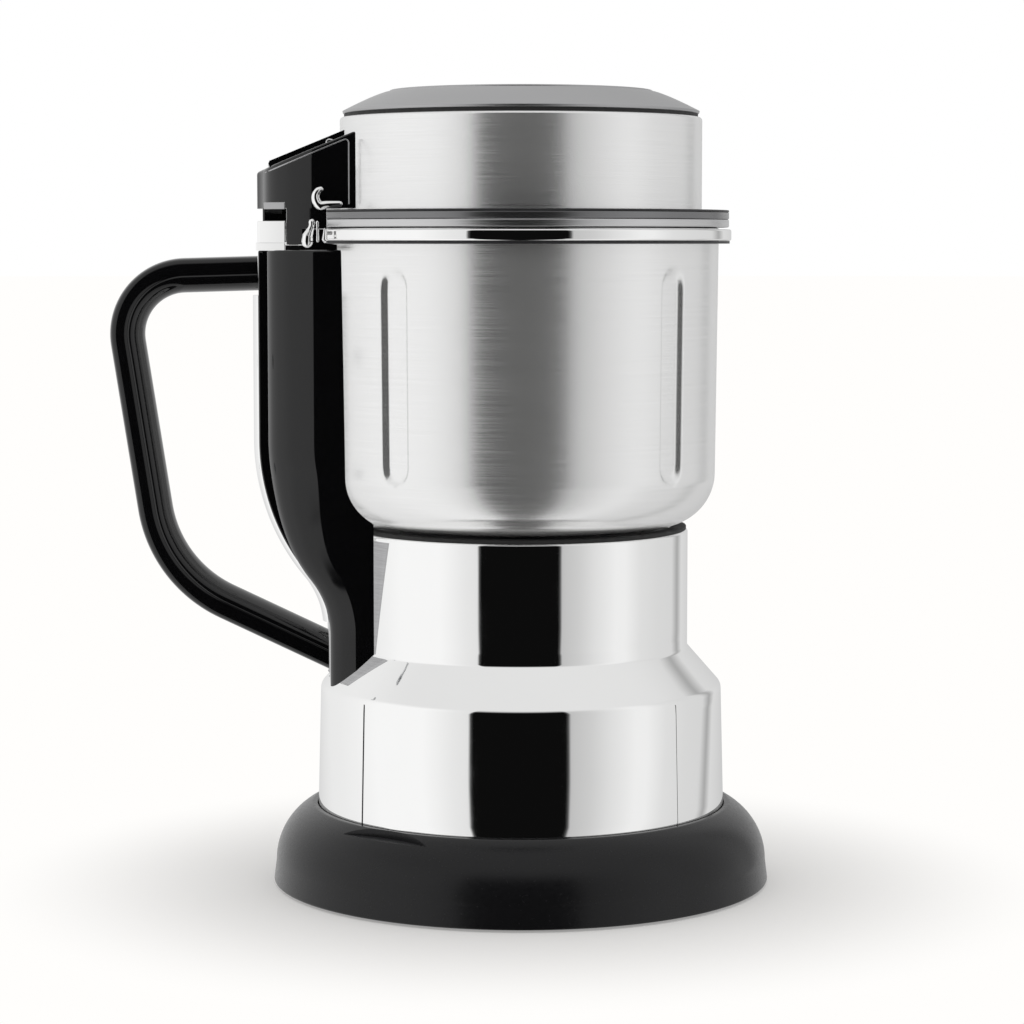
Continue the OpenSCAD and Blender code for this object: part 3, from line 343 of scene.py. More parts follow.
def bar_y(outline: Array, y0: float, y1: float, edge: float) -> tuple[Array, Array]:
    """An outline of (x, z) given a width along Y, with rounded edges.

    Args:
        outline: Closed outline.
        y0: First face.
        y1: Last face.
        edge: Radius of the edges.

    Returns:
        Points and faces.
    """
    back, below = edge_steps(edge, 3)
    xz = inset(outline, np.concatenate([back[::-1], back]))
    ys = np.concatenate([y0 + below[::-1], y1 - below])
    return loft(np.stack([xz[..., 0], np.broadcast_to(ys[:, None], xz.shape[:2]), xz[..., 1]], -1))


def slab_z(outline: Array, low: float, top: Callable[[Array], Array], edge: float) -> tuple[Array, Array]:
    """A plan outline raised from a level floor to a top that may slope along X, with rounded top edges.

    Rows stand at even shares of the height up to the rounding, and then follow a quarter circle.

    Args:
        outline: Closed outline of (x, y).
        low: Height of the floor.
        top: Height of the top at a given x.
        edge: Radius of the top edges.

    Returns:
        Points and faces.
    """
    back, below = edge_steps(edge, 4)
    rise = np.linspace(0, 1, 9)[:-1]
    xy = inset(outline, np.concatenate([np.zeros(len(rise)), back]))
    face = top(xy[..., 0])
    z = np.concatenate([low + (face[:len(rise)] - edge - low) * rise[:, None],
                        face[len(rise):] - below[:, None]])
    return loft(np.concatenate([xy, z[..., None]], -1))


def level(z: float) -> Callable[[Array], Array]:
    """A level top for slab_z."""
    return lambda x: np.full(np.shape(x), z)


def tube(rows: Sequence[tuple[float, float, float]], y: float, at: Array | float = 0.0) -> tuple[Array, Array]:
    """A round bar of changing thickness along a smooth curve of (x, z), with round ends.

    The curve is a cubic through the points; each end shrinks along a quarter circle.

    Args:
        rows: Points of the middle line as (x, z, radius).
        y: Place of the curve along Y.
        at: Place that the points are measured from.

    Returns:
        Points and faces.
    """
    p, radii = np.array(rows)[:, :2] + at, np.array(rows)[:, 2]
    ends = np.concatenate([[2 * p[0] - p[1]], p, [2 * p[-1] - p[-2]]])
    t = np.linspace(0, 1, 9)[:-1, None]
    rows = [0.5 * (2 * b + (c - a) * t + (2 * a - 5 * b + 4 * c - d) * t ** 2 + (3 * b - a - 3 * c + d) * t ** 3)
            for a, b, c, d in zip(ends, ends[1:], ends[2:], ends[3:])]
    mid = np.concatenate(rows + [p[-1:]])
    r = np.interp(np.arange(len(mid)) / 8, np.arange(len(p)), radii)
    go = np.gradient(mid, axis=0)
    go /= np.linalg.norm(go, axis=1, keepdims=True)
    cap = np.linspace(0, np.pi / 2, 6)[1:]
    first = mid[0] - go[0] * (r[0] * np.sin(cap))[::-1, None]
    last = mid[-1] + go[-1] * (r[-1] * np.sin(cap))[:, None]
    mid = np.concatenate([first, mid, last])
    go = np.concatenate([np.repeat(go[:1], 5, 0), go, np.repeat(go[-1:], 5, 0)])
    shrink = np.maximum(np.cos(cap), 0.02)
    r = np.concatenate([r[0] * shrink[::-1], r, r[-1] * shrink])
    out, side = r[:, None] * circle(20).T[:, None]
    return loft(np.stack([mid[:, :1] - go[:, 1:] * out, y + side, mid[:, 1:] + go[:, :1] * out], -1))


# ---------------------------------------------------------------- finishes

class Sock(Enum):
    """Kinds of socket that a shared effect has."""

    VALUE = "NodeSocketFloat"


Given = dict[str | int, object]


def feed(tree: bpy.types.NodeTree, node: bpy.types.Node, given: Given) -> bpy.types.Node:
    """Links or sets the inputs of a node.

    Args:
        tree: The tree that holds the node.
        node: The node.
        given: An output to link, or a value to set, for each input's name or number.

    Returns:
        The node.
    """
    for key, value in given.items():
        if isinstance(value, bpy.types.NodeSocket):
            tree.links.new(value, node.inputs[key])
        else:
            node.inputs[key].default_value = value
    return node


def add(tree: bpy.types.NodeTree, kind: str, given: Given, operation: str = "") -> bpy.types.NodeSocket:
    """Adds a node.

    Args:
        tree: The tree to add to.
        kind: Kind of node.
        given: Its inputs, as feed takes them.
        operation: What a maths node does.

    Returns:
        The node's first visible output.
    """
    node = tree.nodes.new(kind)
    if operation:
        node.operation = operation
    feed(tree, node, given)
    return next(out for out in node.outputs if out.enabled)


def ranged(tree: bpy.types.NodeTree, value: bpy.types.NodeSocket, before: tuple[float, float],
           after: tuple[float, float], eased: bool = False) -> bpy.types.NodeSocket:
    """A value carried from one range to another and held at its ends.

    Args:
        tree: The tree to add to.
        value: The value.
        before: Its range.
        after: The range of the result.
        eased: Whether it follows a smooth step and not a line.

    Returns:
        The result.
    """
    node = tree.nodes.new("ShaderNodeMapRange")
    node.interpolation_type = "SMOOTHSTEP" if eased else "LINEAR"
    feed(tree, node, {"Value": value, "From Min": before[0], "From Max": before[1],
                      "To Min": after[0], "To Max": after[1]})
    return node.outputs["Result"]


def blend(tree: bpy.types.NodeTree, share: bpy.types.NodeSocket, low: object, high: object) -> bpy.types.NodeSocket:
    """A colour between two others, by a share from 0 to 1."""
    node = tree.nodes.new("ShaderNodeMix")
    node.data_type = "RGBA"
    return feed(tree, node, {0: share, 6: low, 7: high}).outputs[2]


def effect(name: str, inputs: dict[str, float]) -> tuple[bpy.types.NodeTree, bpy.types.Node, bpy.types.Node]:
    """An empty shared effect with number inputs and one number output called Mask.

    Args:
        name: Name of the effect.
        inputs: Names and values of its inputs.

    Returns:
        The group, its input node and its output node.
    """
    tree = bpy.data.node_groups.new(name, "ShaderNodeTree")
    for key, value in inputs.items():
        tree.interface.new_socket(key, in_out="INPUT", socket_type=Sock.VALUE.value).default_value = value
    tree.interface.new_socket("Mask", in_out="OUTPUT", socket_type=Sock.VALUE.value)
    return tree, tree.nodes.new("NodeGroupInput"), tree.nodes.new("NodeGroupOutput")


def brushing() -> bpy.types.NodeTree:
    """Shared effect: fine lines round the axis.

    The mask is noise read at (x along, y along, z across), so it changes slowly round the axis and
    fast up it.

    Returns:
        The group.
    """
    tree, given, result = effect("brushing", {"Along": 25.0, "Across": 5200.0, "Detail": 3.0})
    along, across, detail = (given.outputs[key] for key in ("Along", "Across", "Detail"))
    scale = add(tree, "ShaderNodeCombineXYZ", {"X": along, "Y": along, "Z": across})
    place = tree.nodes.new("ShaderNodeTexCoord").outputs["Object"]
    stretched = add(tree, "ShaderNodeVectorMath", {0: place, 1: scale}, "MULTIPLY")
    noise = add(tree, "ShaderNodeTexNoise", {"Vector": stretched, "Scale": 1.0, "Detail": detail})
    tree.links.new(noise, result.inputs["Mask"])
    return tree


def grain() -> bpy.types.NodeTree:
    """Shared effect: even grain of a moulded, cast or handled surface.

    The mask is noise on Object coordinates at the given scale.

    Returns:
        The group.
    """
    tree, given, result = effect("grain", {"Scale": 900.0, "Detail": 4.0})
    place = tree.nodes.new("ShaderNodeTexCoord").outputs["Object"]
    noise = add(tree, "ShaderNodeTexNoise",
                {"Vector": place, "Scale": given.outputs["Scale"], "Detail": given.outputs["Detail"]})
    tree.links.new(noise, result.inputs["Mask"])
    return tree


@dataclass(frozen=True)
class Finish:
    """One finish: a colour, a gloss and the effects that vary them."""

    name: str
    colour: tuple[float, float, float]
    roughness: float
    metal: float = 0.0
    specular: float = 0.5
    anisotropy: float = 0.0
    spread: float = 0.0
    colour_spread: float = 0.0
    scale: float = 900.0
    brushed: bool = False
    along: float = 25.0
    across: float = 5200.0
    bump: float = 0.0
    bump_depth: float = 0.00002

    def make(self, effects: dict[str, bpy.types.NodeTree]) -> bpy.types.Material:
        """The finish as a material.

        Args:
            effects: The shared effects by name.

        Returns:
            The material.
        """
        material = bpy.data.materials.new(self.name)
        material.use_nodes = True
        tree = material.node_tree
        shader = tree.nodes["Principled BSDF"]
        feed(tree, shader, {"Base Color": (*self.colour, 1), "Roughness": self.roughness, "Metallic": self.metal,
                            "Specular IOR Level": self.specular, "Anisotropic": self.anisotropy})
        group = tree.nodes.new("ShaderNodeGroup")
        group.node_tree = effects["brushing" if self.brushed else "grain"]
        feed(tree, group, {"Along": self.along, "Across": self.across} if self.brushed else {"Scale": self.scale})
        mask = group.outputs["Mask"]
        if self.spread:
            gloss = max(0.0, self.roughness - self.spread), min(1.0, self.roughness + self.spread)
            feed(tree, shader, {"Roughness": ranged(tree, mask, (0.3, 0.7), gloss)})
        if self.colour_spread:
            dark, pale = ((*(min(1.0, c * share) for c in self.colour), 1)
                          for share in (1 - self.colour_spread, 1 + self.colour_spread))
            feed(tree, shader, {"Base Color": blend(tree, mask, dark, pale)})
        if self.bump:
            bump = add(tree, "ShaderNodeBump", {"Strength": self.bump, "Distance": self.bump_depth, "Height": mask})
            feed(tree, shader, {"Normal": bump})
        return material


FINISHES: dict[str, Finish] = {f.name: f for f in (
    Finish("foot_black", (0.009, 0.009, 0.01), 0.24, specular=0.28, spread=0.04, scale=700, bump=0.2,
           bump_depth=0.00003, colour_spread=0.15),
    Finish("rubber", (0.02, 0.02, 0.02), 0.7, spread=0.1, scale=500, bump=0.3, colour_spread=0.2),
    Finish("chrome", (0.94, 0.94, 0.935), 0.035, metal=1.0, spread=0.02, scale=60, colour_spread=0.012),
    Finish("brushed", (0.93, 0.93, 0.925), 0.2, metal=0.81, anisotropy=0.75, spread=0.05, brushed=True,
           bump=0.35, bump_depth=0.00002, colour_spread=0.09),
    Finish("dark_ring", (0.22, 0.22, 0.225), 0.2, metal=0.9, anisotropy=0.6, spread=0.05, brushed=True,
           bump=0.3, bump_depth=0.00002, colour_spread=0.1),
    Finish("satin_steel", (0.45, 0.45, 0.455), 0.38, metal=1.0, spread=0.05, scale=1500, colour_spread=0.06,
           bump=0.15),
    Finish("saddle_steel", (0.42, 0.42, 0.425), 0.2, metal=1.0, spread=0.06, brushed=True, along=80, across=2500,
           colour_spread=0.25, bump=0.5),
    Finish("ring_steel", (0.62, 0.62, 0.625), 0.3, metal=1.0, spread=0.05, brushed=True, bump=0.2,
           colour_spread=0.08),
    Finish("gloss_black", (0.004, 0.004, 0.0045), 0.07, spread=0.02, scale=120, colour_spread=0.2),
    Finish("inner_black", (0.02, 0.02, 0.022), 0.5, spread=0.08, scale=800, bump=0.2, colour_spread=0.15),
    Finish("white_plastic", (0.78, 0.78, 0.76), 0.4, spread=0.05, scale=700, colour_spread=0.03),
    Finish("machined", (0.6, 0.6, 0.6), 0.25, metal=1.0, spread=0.06, brushed=True, along=60, across=4000,
           colour_spread=0.08, bump=0.2),
    Finish("zinc", (0.55, 0.56, 0.57), 0.4, metal=1.0, spread=0.08, scale=300, colour_spread=0.1),
    Finish("laminations", (0.12, 0.12, 0.13), 0.5, metal=0.6, spread=0.08, brushed=True, along=10,
           across=2000, colour_spread=0.3, bump=0.4),
    Finish("copper", (0.72, 0.36, 0.2), 0.32, metal=1.0, spread=0.08, brushed=True, along=100, across=3000,
           colour_spread=0.15, bump=0.5),
    Finish("brass", (0.76, 0.58, 0.26), 0.3, metal=1.0, spread=0.06, scale=400, colour_spread=0.08),
    Finish("carbon", (0.03, 0.03, 0.03), 0.6, spread=0.1, scale=900, colour_spread=0.3),
    Finish("silicone", (0.8, 0.8, 0.78), 0.5, spread=0.06, scale=600, colour_spread=0.03),
)}


class Workshop:
    """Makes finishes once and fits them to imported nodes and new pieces."""

    def __init__(self) -> None:
        """Builds the shared effects and every finish."""
        effects = {"brushing": brushing(), "grain": grain()}
        self.materials = {name: finish.make(effects) for name, finish in FINISHES.items()}
        self.slots = {row["node"]: row["material_slot"] for row in frame["record"]["subparts"]}

    def dress_nodes(self) -> None:
        """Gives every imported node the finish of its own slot."""
        for name, node in frame["nodes"].items():
            node.data.materials.clear()
            node.data.materials.append(self.materials[self.slots[name]])
        log.info("dressed %d packed nodes", len(frame["nodes"]))

    def fit(self, piece: bpy.types.Object, body: str, slot: str, *nodes: str,
            finish: str = "", second: str = "", mirrored: bool = True) -> None:
        """Gives a new piece its finish, its body and the nodes that it stands for.

        Args:
            piece: The new piece.
            body: Name of the body that it rides on.
            slot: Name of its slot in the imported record.
            nodes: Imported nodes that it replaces.
            finish: Name of its finish, where it isn't the slot's own.
            second: Name of the finish of the faces marked by second_finish.
            mirrored: Whether chrome and steel show it in their reflections.
        """
        for name in filter(None, (finish or slot, second)):
            piece.data.materials.append(self.materials[name])
        piece.visible_glossy = mirrored
        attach(piece, body)
        if nodes:
            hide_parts(*nodes)
        log.info("%s: %d faces on %s", piece.name, len(piece.data.polygons), body)


# ---------------------------------------------------------------- base

@dataclass
class Base:
    """The motor base: foot ring, chrome body with its panel seams, and seat ring."""

    foot_r: float = 95.0
    foot_draft: float = 1.0
    crown_r: float = 24.0
    crown_z: float = 8.8
    foot_h: float = 30.6
    lip_r: float = 78.1
    bore_r: float = 73.2
    ledge_z: float = 19.95
    notch_az: float = -132.0
    notch_circle: float = 60.0
    notch_depth: float = 3.0
    body_r: float = 76.6
    flare: float = 1.2
    shoulder_z: float = 76.3
    neck_r: float = 63.7
    neck_z: float = 91.0
    deck_z: float = 135.6
    sheet: float = 1.2
    seam_half: float = 48.3
    seam_mid: float = -95.45
    seam_w: float = 0.42
    seam_depth: float = 0.7
    lip_top: float = 133.5
    lip_half: tuple[float, float] = (29.0, 37.0)
    skirt_half: tuple[float, float] = (38.5, 28.0)
    skirt_share: float = 0.78
    saddle_gap: float = 0.2

    def foot(self) -> bpy.types.Object:
        """The foot ring, whose notch is a circle's segment cut to a level floor.

        Inside the notch the crown's points are pulled to the circle's edge and down to the floor:
        the edge stands at D cos d - sqrt(R^2 - D^2 sin^2 d) from the axis, where d is the angle from
        the notch's middle, R the circle's radius and D its distance.

        Returns:
            The piece.
        """
        cr = self.foot_r - self.foot_draft - self.crown_r
        top = math.asin((self.foot_h - 0.6 - self.crown_z) / self.crown_r)
        t = np.linspace(0, top, 40)
        crown = np.stack([cr + self.crown_r * np.cos(t), self.crown_z + self.crown_r * np.sin(t)], 1)
        floor = self.foot_h - self.notch_depth
        floor_r = cr + math.sqrt(self.crown_r ** 2 - (floor - self.crown_z) ** 2)
        low = rounded([(self.bore_r, 0.9), (self.foot_r, 0.9), (self.foot_r - self.foot_draft, self.crown_z)],
                      [0.3, 0.7, 0], 6, closed=False)
        outer = np.concatenate([low[:-1], crown[crown[:, 0] > floor_r]])
        far = self.lip_r + 1.2 + self.notch_circle
        slide = np.linspace(0, 1, 14)

        a = round_angles([(self.notch_az - 20, self.notch_az + 20)], 240, 0.2)[:-1]
        d = off_angle(a, self.notch_az)
        under = self.notch_circle ** 2 - (far * np.sin(d)) ** 2
        edge = np.where((under > 0) & (np.abs(d) < 0.6), far * np.cos(d) - np.sqrt(np.maximum(under, 0)), floor_r)
        edge = np.clip(edge, self.lip_r + 1.0, floor_r)

        def surface(r: Array) -> Array:
            """Height of the crown at a radius, at most the foot's."""
            rise = np.sqrt(np.maximum(self.crown_r ** 2 - (r - cr) ** 2, 0))
            return np.minimum(self.crown_z + rise, self.foot_h)

        rows = [np.broadcast_to(outer, (len(a), len(outer), 2))]
        ground = np.stack([floor_r + (edge[:, None] - floor_r) * slide, np.full((len(a), 14), floor)], -1)
        wall = np.stack([np.repeat(edge[:, None], 5, 1),
                         floor + (surface(edge) - floor)[:, None] * np.linspace(0, 1, 5)], -1)
        start = self.lip_r + 0.5
        back = edge[:, None] + (start - edge)[:, None] * np.linspace(0, 1, 16)
        crown_top = np.stack([back, surface(back)], -1)
        lip = np.array([(self.lip_r + 0.25, self.foot_h + 0.02), (self.lip_r, self.foot_h - 0.25),
                        (self.lip_r, self.ledge_z), (self.bore_r, self.ledge_z)])
        rows += [ground, wall[:, 1:], crown_top[:, 1:], np.broadcast_to(lip, (len(a), 4, 2))]
        loop = np.concatenate(rows, 1)
        piece = merged("foot_ring_moulded", [spun(a, loop[..., 0], loop[..., 1])], 32)
        # The notch's level floor takes the dark second finish: painted shade in the recess.
        second_finish(piece, lambda _, r, z: (np.abs(z - floor) < 0.1) & (r > self.lip_r + 0.9)
                      & (r < floor_r - 0.02))
        return piece

    def body(self) -> bpy.types.Object:
        """The chrome body, whose two seams are narrow grooves in the lower wall.

        At an angle a from a seam the wall moves in by depth times a smooth step of
        1 - |a r| / width, between the foot and the top of the wall.

        Returns:
            The piece.
        """
        b, s = self.body_r, self.sheet
        outer = [(b + self.flare, self.ledge_z + 0.05), (b + self.flare, self.foot_h), (b, self.shoulder_z),
                 (self.neck_r, self.neck_z), (self.neck_r, self.deck_z), (self.neck_r - 7, self.deck_z)]
        inside = [(self.neck_r - 7, self.deck_z - s), (self.neck_r - s, self.deck_z - s),
                  (self.neck_r - s, self.neck_z - 0.5), (b - s, self.shoulder_z - 0.5),
                  (b + self.flare - s, self.foot_h), (b + self.flare - s, self.ledge_z + 0.05)]
        loop = rounded(outer + inside, [0, 0, 4.0, 2.2, 0.9, 0.2, 0, 0, 0, 0, 0, 0], 10)
        loop = refined(loop, 4.0)
        seams = [self.seam_mid - self.seam_half, self.seam_mid + self.seam_half]
        angles = round_angles([(q - 0.5, q + 0.5) for q in seams], 360, 0.04)[:-1]

        def seamed(ang: Array, rad: Array, high: Array) -> Array:
            """Presses the seams into the outer wall."""
            for q in seams:
                near = smooth(np.clip(1 - np.abs(off_angle(ang, q)) * b / self.seam_w, 0, 1))
                wall = (rad > b - 0.6) & (high < self.shoulder_z - 1.2)
                rad = rad - self.seam_depth * near * wall
            return rad

        piece = merged("body_chrome", [turned(loop, angles, seamed)], 38)
        # The bottom of the first seam's groove takes the dark second finish: painted shade in the crease.
        second_finish(piece, lambda a, r, z: (np.abs(off_angle(a, seams[0])) * b < 0.7 * self.seam_w)
                      & (z < self.shoulder_z - 3) & (r > b - 1))
        return piece

    def saddle(self) -> bpy.types.Object:
        """The saddle that takes the spine's tail: a thin lip up the neck and a skirt on the shoulder.

        At each height the lip covers the angles whose half width is given at its foot and top; the
        skirt does the same down the shoulder's cone. Edges are rounded by pulling the outermost
        points onto the base.

        Returns:
            The piece.
        """
        share = np.linspace(self.saddle_gap, 1, 33)
        rise = np.linspace(0, 1, 25)[:, None]
        lip_z = self.neck_z + 0.4 + (self.lip_top - self.neck_z) * rise
        lip = self.plate(share, np.full_like(rise, self.neck_r + 0.12), lip_z,
                         self.lip_half[0] + (self.lip_half[1] - self.lip_half[0]) * rise, (0.7, 0.0))
        run = self.body_r - self.neck_r
        down = np.linspace(0.08, self.skirt_share, 25)[:, None]
        skirt_z = self.neck_z - (self.neck_z - self.shoulder_z) * down + 0.35
        skirt = self.plate(share, self.neck_r + run * down, skirt_z,
                           self.skirt_half[0] + (self.skirt_half[1] - self.skirt_half[0]) * down, (0.5, 0.55))
        mirror = [(pts * [1, -1, 1], [face[::-1] for face in faces]) for pts, faces in (lip, skirt)]
        return merged("tail_saddle_pressed", [lip, skirt, *mirror], 50)

    def plate(self, share: Array, rad: Array, high: Array, half: Array, out: tuple[float, float]
              ) -> tuple[Array, Array]:
        """A thin curved plate that lies on a turned surface at the spine's side.

        Args:
            share: Places across the plate, from the gap in its middle to 1.
            rad: Radius of the surface in each row.
            high: Height of the surface in each row.
            half: Half of the plate's width in each row.
            out: Thickness in radius and in height.

        Returns:
            Points and faces.
        """
        angle = math.pi + np.arcsin(np.clip(half / rad, 0, 0.99)) * share
        across = 2 * (share - self.saddle_gap) / (1 - self.saddle_gap) - 1
        swell = np.sqrt(np.clip(1 - np.abs(across) ** 24, 0, 1))
        layers = []
        for k in (0.0, 1.0):
            r = rad + k * out[0] * swell
            z = np.broadcast_to(high + k * out[1] * swell, angle.shape)
            layers.append(np.stack([r * np.cos(angle), r * np.sin(angle), z], -1))
        return loft(np.concatenate([layers[0], layers[1][:, ::-1]], 1))

    def seat(self) -> bpy.types.Object:
        """The black ring that the jar stands on: a rounded rectangle turned round the axis."""
        r0, r1, z0, z1 = self.neck_r - 0.6, self.neck_r - 6.4, self.deck_z, self.deck_z + 1.4
        return merged("seat_ring_moulded", [turned(box_loop(r1, r0, z0, z1, 0.3))])

    def build(self, shop: Workshop) -> None:
        """Builds the base and fits every piece through the workshop."""
        # The foot's dark second finish is painted shade on its notch floor.
        shop.fit(self.foot(), "base", "foot_black", "foot_ring", second="inner_black")
        # The body's dark second finish is painted shade in one seam's groove.
        shop.fit(self.body(), "base", "chrome", "body_shell", "front_panel", second="inner_black")
        shop.fit(self.saddle(), "base", shop.slots["tail_saddle"], "tail_saddle", finish="saddle_steel",
                 mirrored=False)
        shop.fit(self.seat(), "base", "rubber", "seat_ring", mirrored=False)


# ---------------------------------------------------------------- jar

@dataclass
class Jar:
    """The steel jar with its four pressed flutes, and the bright ring under its mouth."""

    mouth_r: float = 74.9
    draft: float = 1.2
    low_z: float = 137.3
    top_z: float = 249.6
    corner: float = 20.0
    wall: float = 1.2
    hole_r: float = 9.05
    flute_low: float = 162.4
    flute_len: float = 66.0
    flute_half: float = 6.7
    flute_depth: float = 2.0
    flute_side: float = 2.6
    flute_az: tuple[float, ...] = (46.9, 133.1, 226.9, 313.1)
    rim_r: float = 79.6
    rim_h: float = 4.3
    shade_ring_h: float = 1.0
    flat_x: float = 74.07

    def pressed(self, ang: Array, rad: Array, high: Array) -> Array:
        """Presses the flutes into the wall.

        The distance of a point from a flute's middle line is the length of (arc from its angle,
        height past its ends); the wall moves in by depth times a steep smooth step of that distance.

        Args:
            ang: Angles.
            rad: Radii.
            high: Heights.

        Returns:
            The pressed radii.
        """
        out = rad
        for q in self.flute_az:
            past = high - np.clip(high, self.flute_low, self.flute_low + self.flute_len)
            far = np.sqrt((off_angle(ang, q) * self.mouth_r) ** 2 + past ** 2)
            t = np.clip((self.flute_half - far) / self.flute_side, 0, 1)
            wall = rad > self.mouth_r - 4
            out = out - self.flute_depth * smooth(t) * wall
        return out

    def vessel(self) -> bpy.types.Object:
        """The jar's wall: a closed profile with a rounded corner, turned round the axis."""
        low, w = self.mouth_r - self.draft, self.wall
        outer = rounded([(self.hole_r, self.low_z), (low, self.low_z), (self.mouth_r, self.top_z)],
                        [0, self.corner, 0], 24, closed=False)
        inner = rounded([(self.mouth_r - w, self.top_z), (low - w, self.low_z + w), (self.hole_r, self.low_z + w)],
                        [0, self.corner - w, 0], 24, closed=False)
        loop = np.concatenate([outer, [[self.mouth_r - w / 2, self.top_z + 0.25]], inner])
        loop = refined(loop, 1.6)
        angles = round_angles([(q - 6, q + 6) for q in self.flute_az], 288, 0.3)[:-1]
        return merged("jar_pressed", [turned(loop, angles, self.pressed)], 40)

    def ring(self, name: str, loop: Array, start: float) -> bpy.types.Object:
        """A ring with a flat beside the hinge, where the radius is at most flat / -cos(angle).

        Args:
            name: Name of the piece.
            loop: Its section.
            start: Degree from which its steps are finer, up to the flat; the other side mirrors it.

        Returns:
            The piece.
        """
        def flat(ang: Array, rad: Array, high: Array) -> Array:
            """Cuts the radii at the flat."""
            c = np.cos(ang)
            return np.where(c < -0.5, np.minimum(rad, self.flat_x / np.maximum(-c, 0.5)), rad)

        angles = round_angles([(start, 170), (190, 360 - start)], 240, 0.5)[:-1]
        return merged(name, [turned(loop, angles, flat)])

    def rim(self) -> bpy.types.Object:
        """The bright ring: a rounded section turned round the axis, with a flat at the hinge."""
        low = self.top_z - 0.3 - self.rim_h
        loop = box_loop(self.mouth_r + 0.05, self.rim_r, low, low + self.rim_h, [0.1, 0.8, 0.8, 0.1], 6)
        return self.ring("rim_ring_turned", loop, 155)

    def shade_ring(self) -> bpy.types.Object:
        """Painted shade under the bright ring: a thin black ring, set in a little, standing for the shadow line
        there.
        """
        high = self.top_z - 0.35 - self.rim_h
        loop = box_loop(self.mouth_r + 0.1, self.rim_r - 0.6, high - self.shade_ring_h, high, [0, 0.2, 0.2, 0], 3)
        return self.ring("rim_groove", loop, 155)

    def build(self, shop: Workshop) -> None:
        """Builds the jar and fits every piece through the workshop."""
        shop.fit(self.vessel(), "jug", "brushed", "jar")
        shop.fit(self.rim(), "jug", "chrome", "rim_ring")
        # A thin black ring under the bright ring: painted shade.
        shop.fit(self.shade_ring(), "jug", "inner_black")


# ---------------------------------------------------------------- spine and handle

@dataclass(frozen=True)
class Nose:
    """Plan of a nose with slanted panels: step beside its rib, slants, and radii."""

    step: float
    low_deg: float
    high_deg: float
    power: float
    rib_half: float
    rib_round: float
    end_round: float
    rib_in: float = 0.0

    def plan(self, half: float, run: float, step: float) -> Array:
        """Front of one level slice as (depth behind the nose, side), from one side to the other.

        From the level side each panel falls inwards by the integral of tan t, where its slant t
        grows from low to high with a power of the way along it. The rib stands in front of a step.

        Args:
            half: Half of the slice's width.
            run: Depth of the panels.
            step: Depth of the step beside the rib.

        Returns:
            Points from the far end of one panel to that of the other.
        """
        s = np.linspace(0, 1, 25)
        slant = np.radians(self.low_deg + (self.high_deg - self.low_deg) * s ** self.power)
        fall = np.tan(slant) * (run - step) / 24
        side = half - np.concatenate([[0], np.cumsum(0.5 * (fall[1:] + fall[:-1]))])
        side = np.maximum(side, self.rib_half + 0.1)
        tip = self.rib_half - self.rib_in
        one = [(60.0, half), *zip(run - (run - step) * s, side), (step, self.rib_half), (0.0, tip)]
        radii = [0, 3.0] + [0] * 23 + [self.end_round, 0, self.rib_round]
        return rounded(one + [(x, -y) for x, y in one[::-1]], radii + radii[::-1], 5, closed=False)[1:-1]


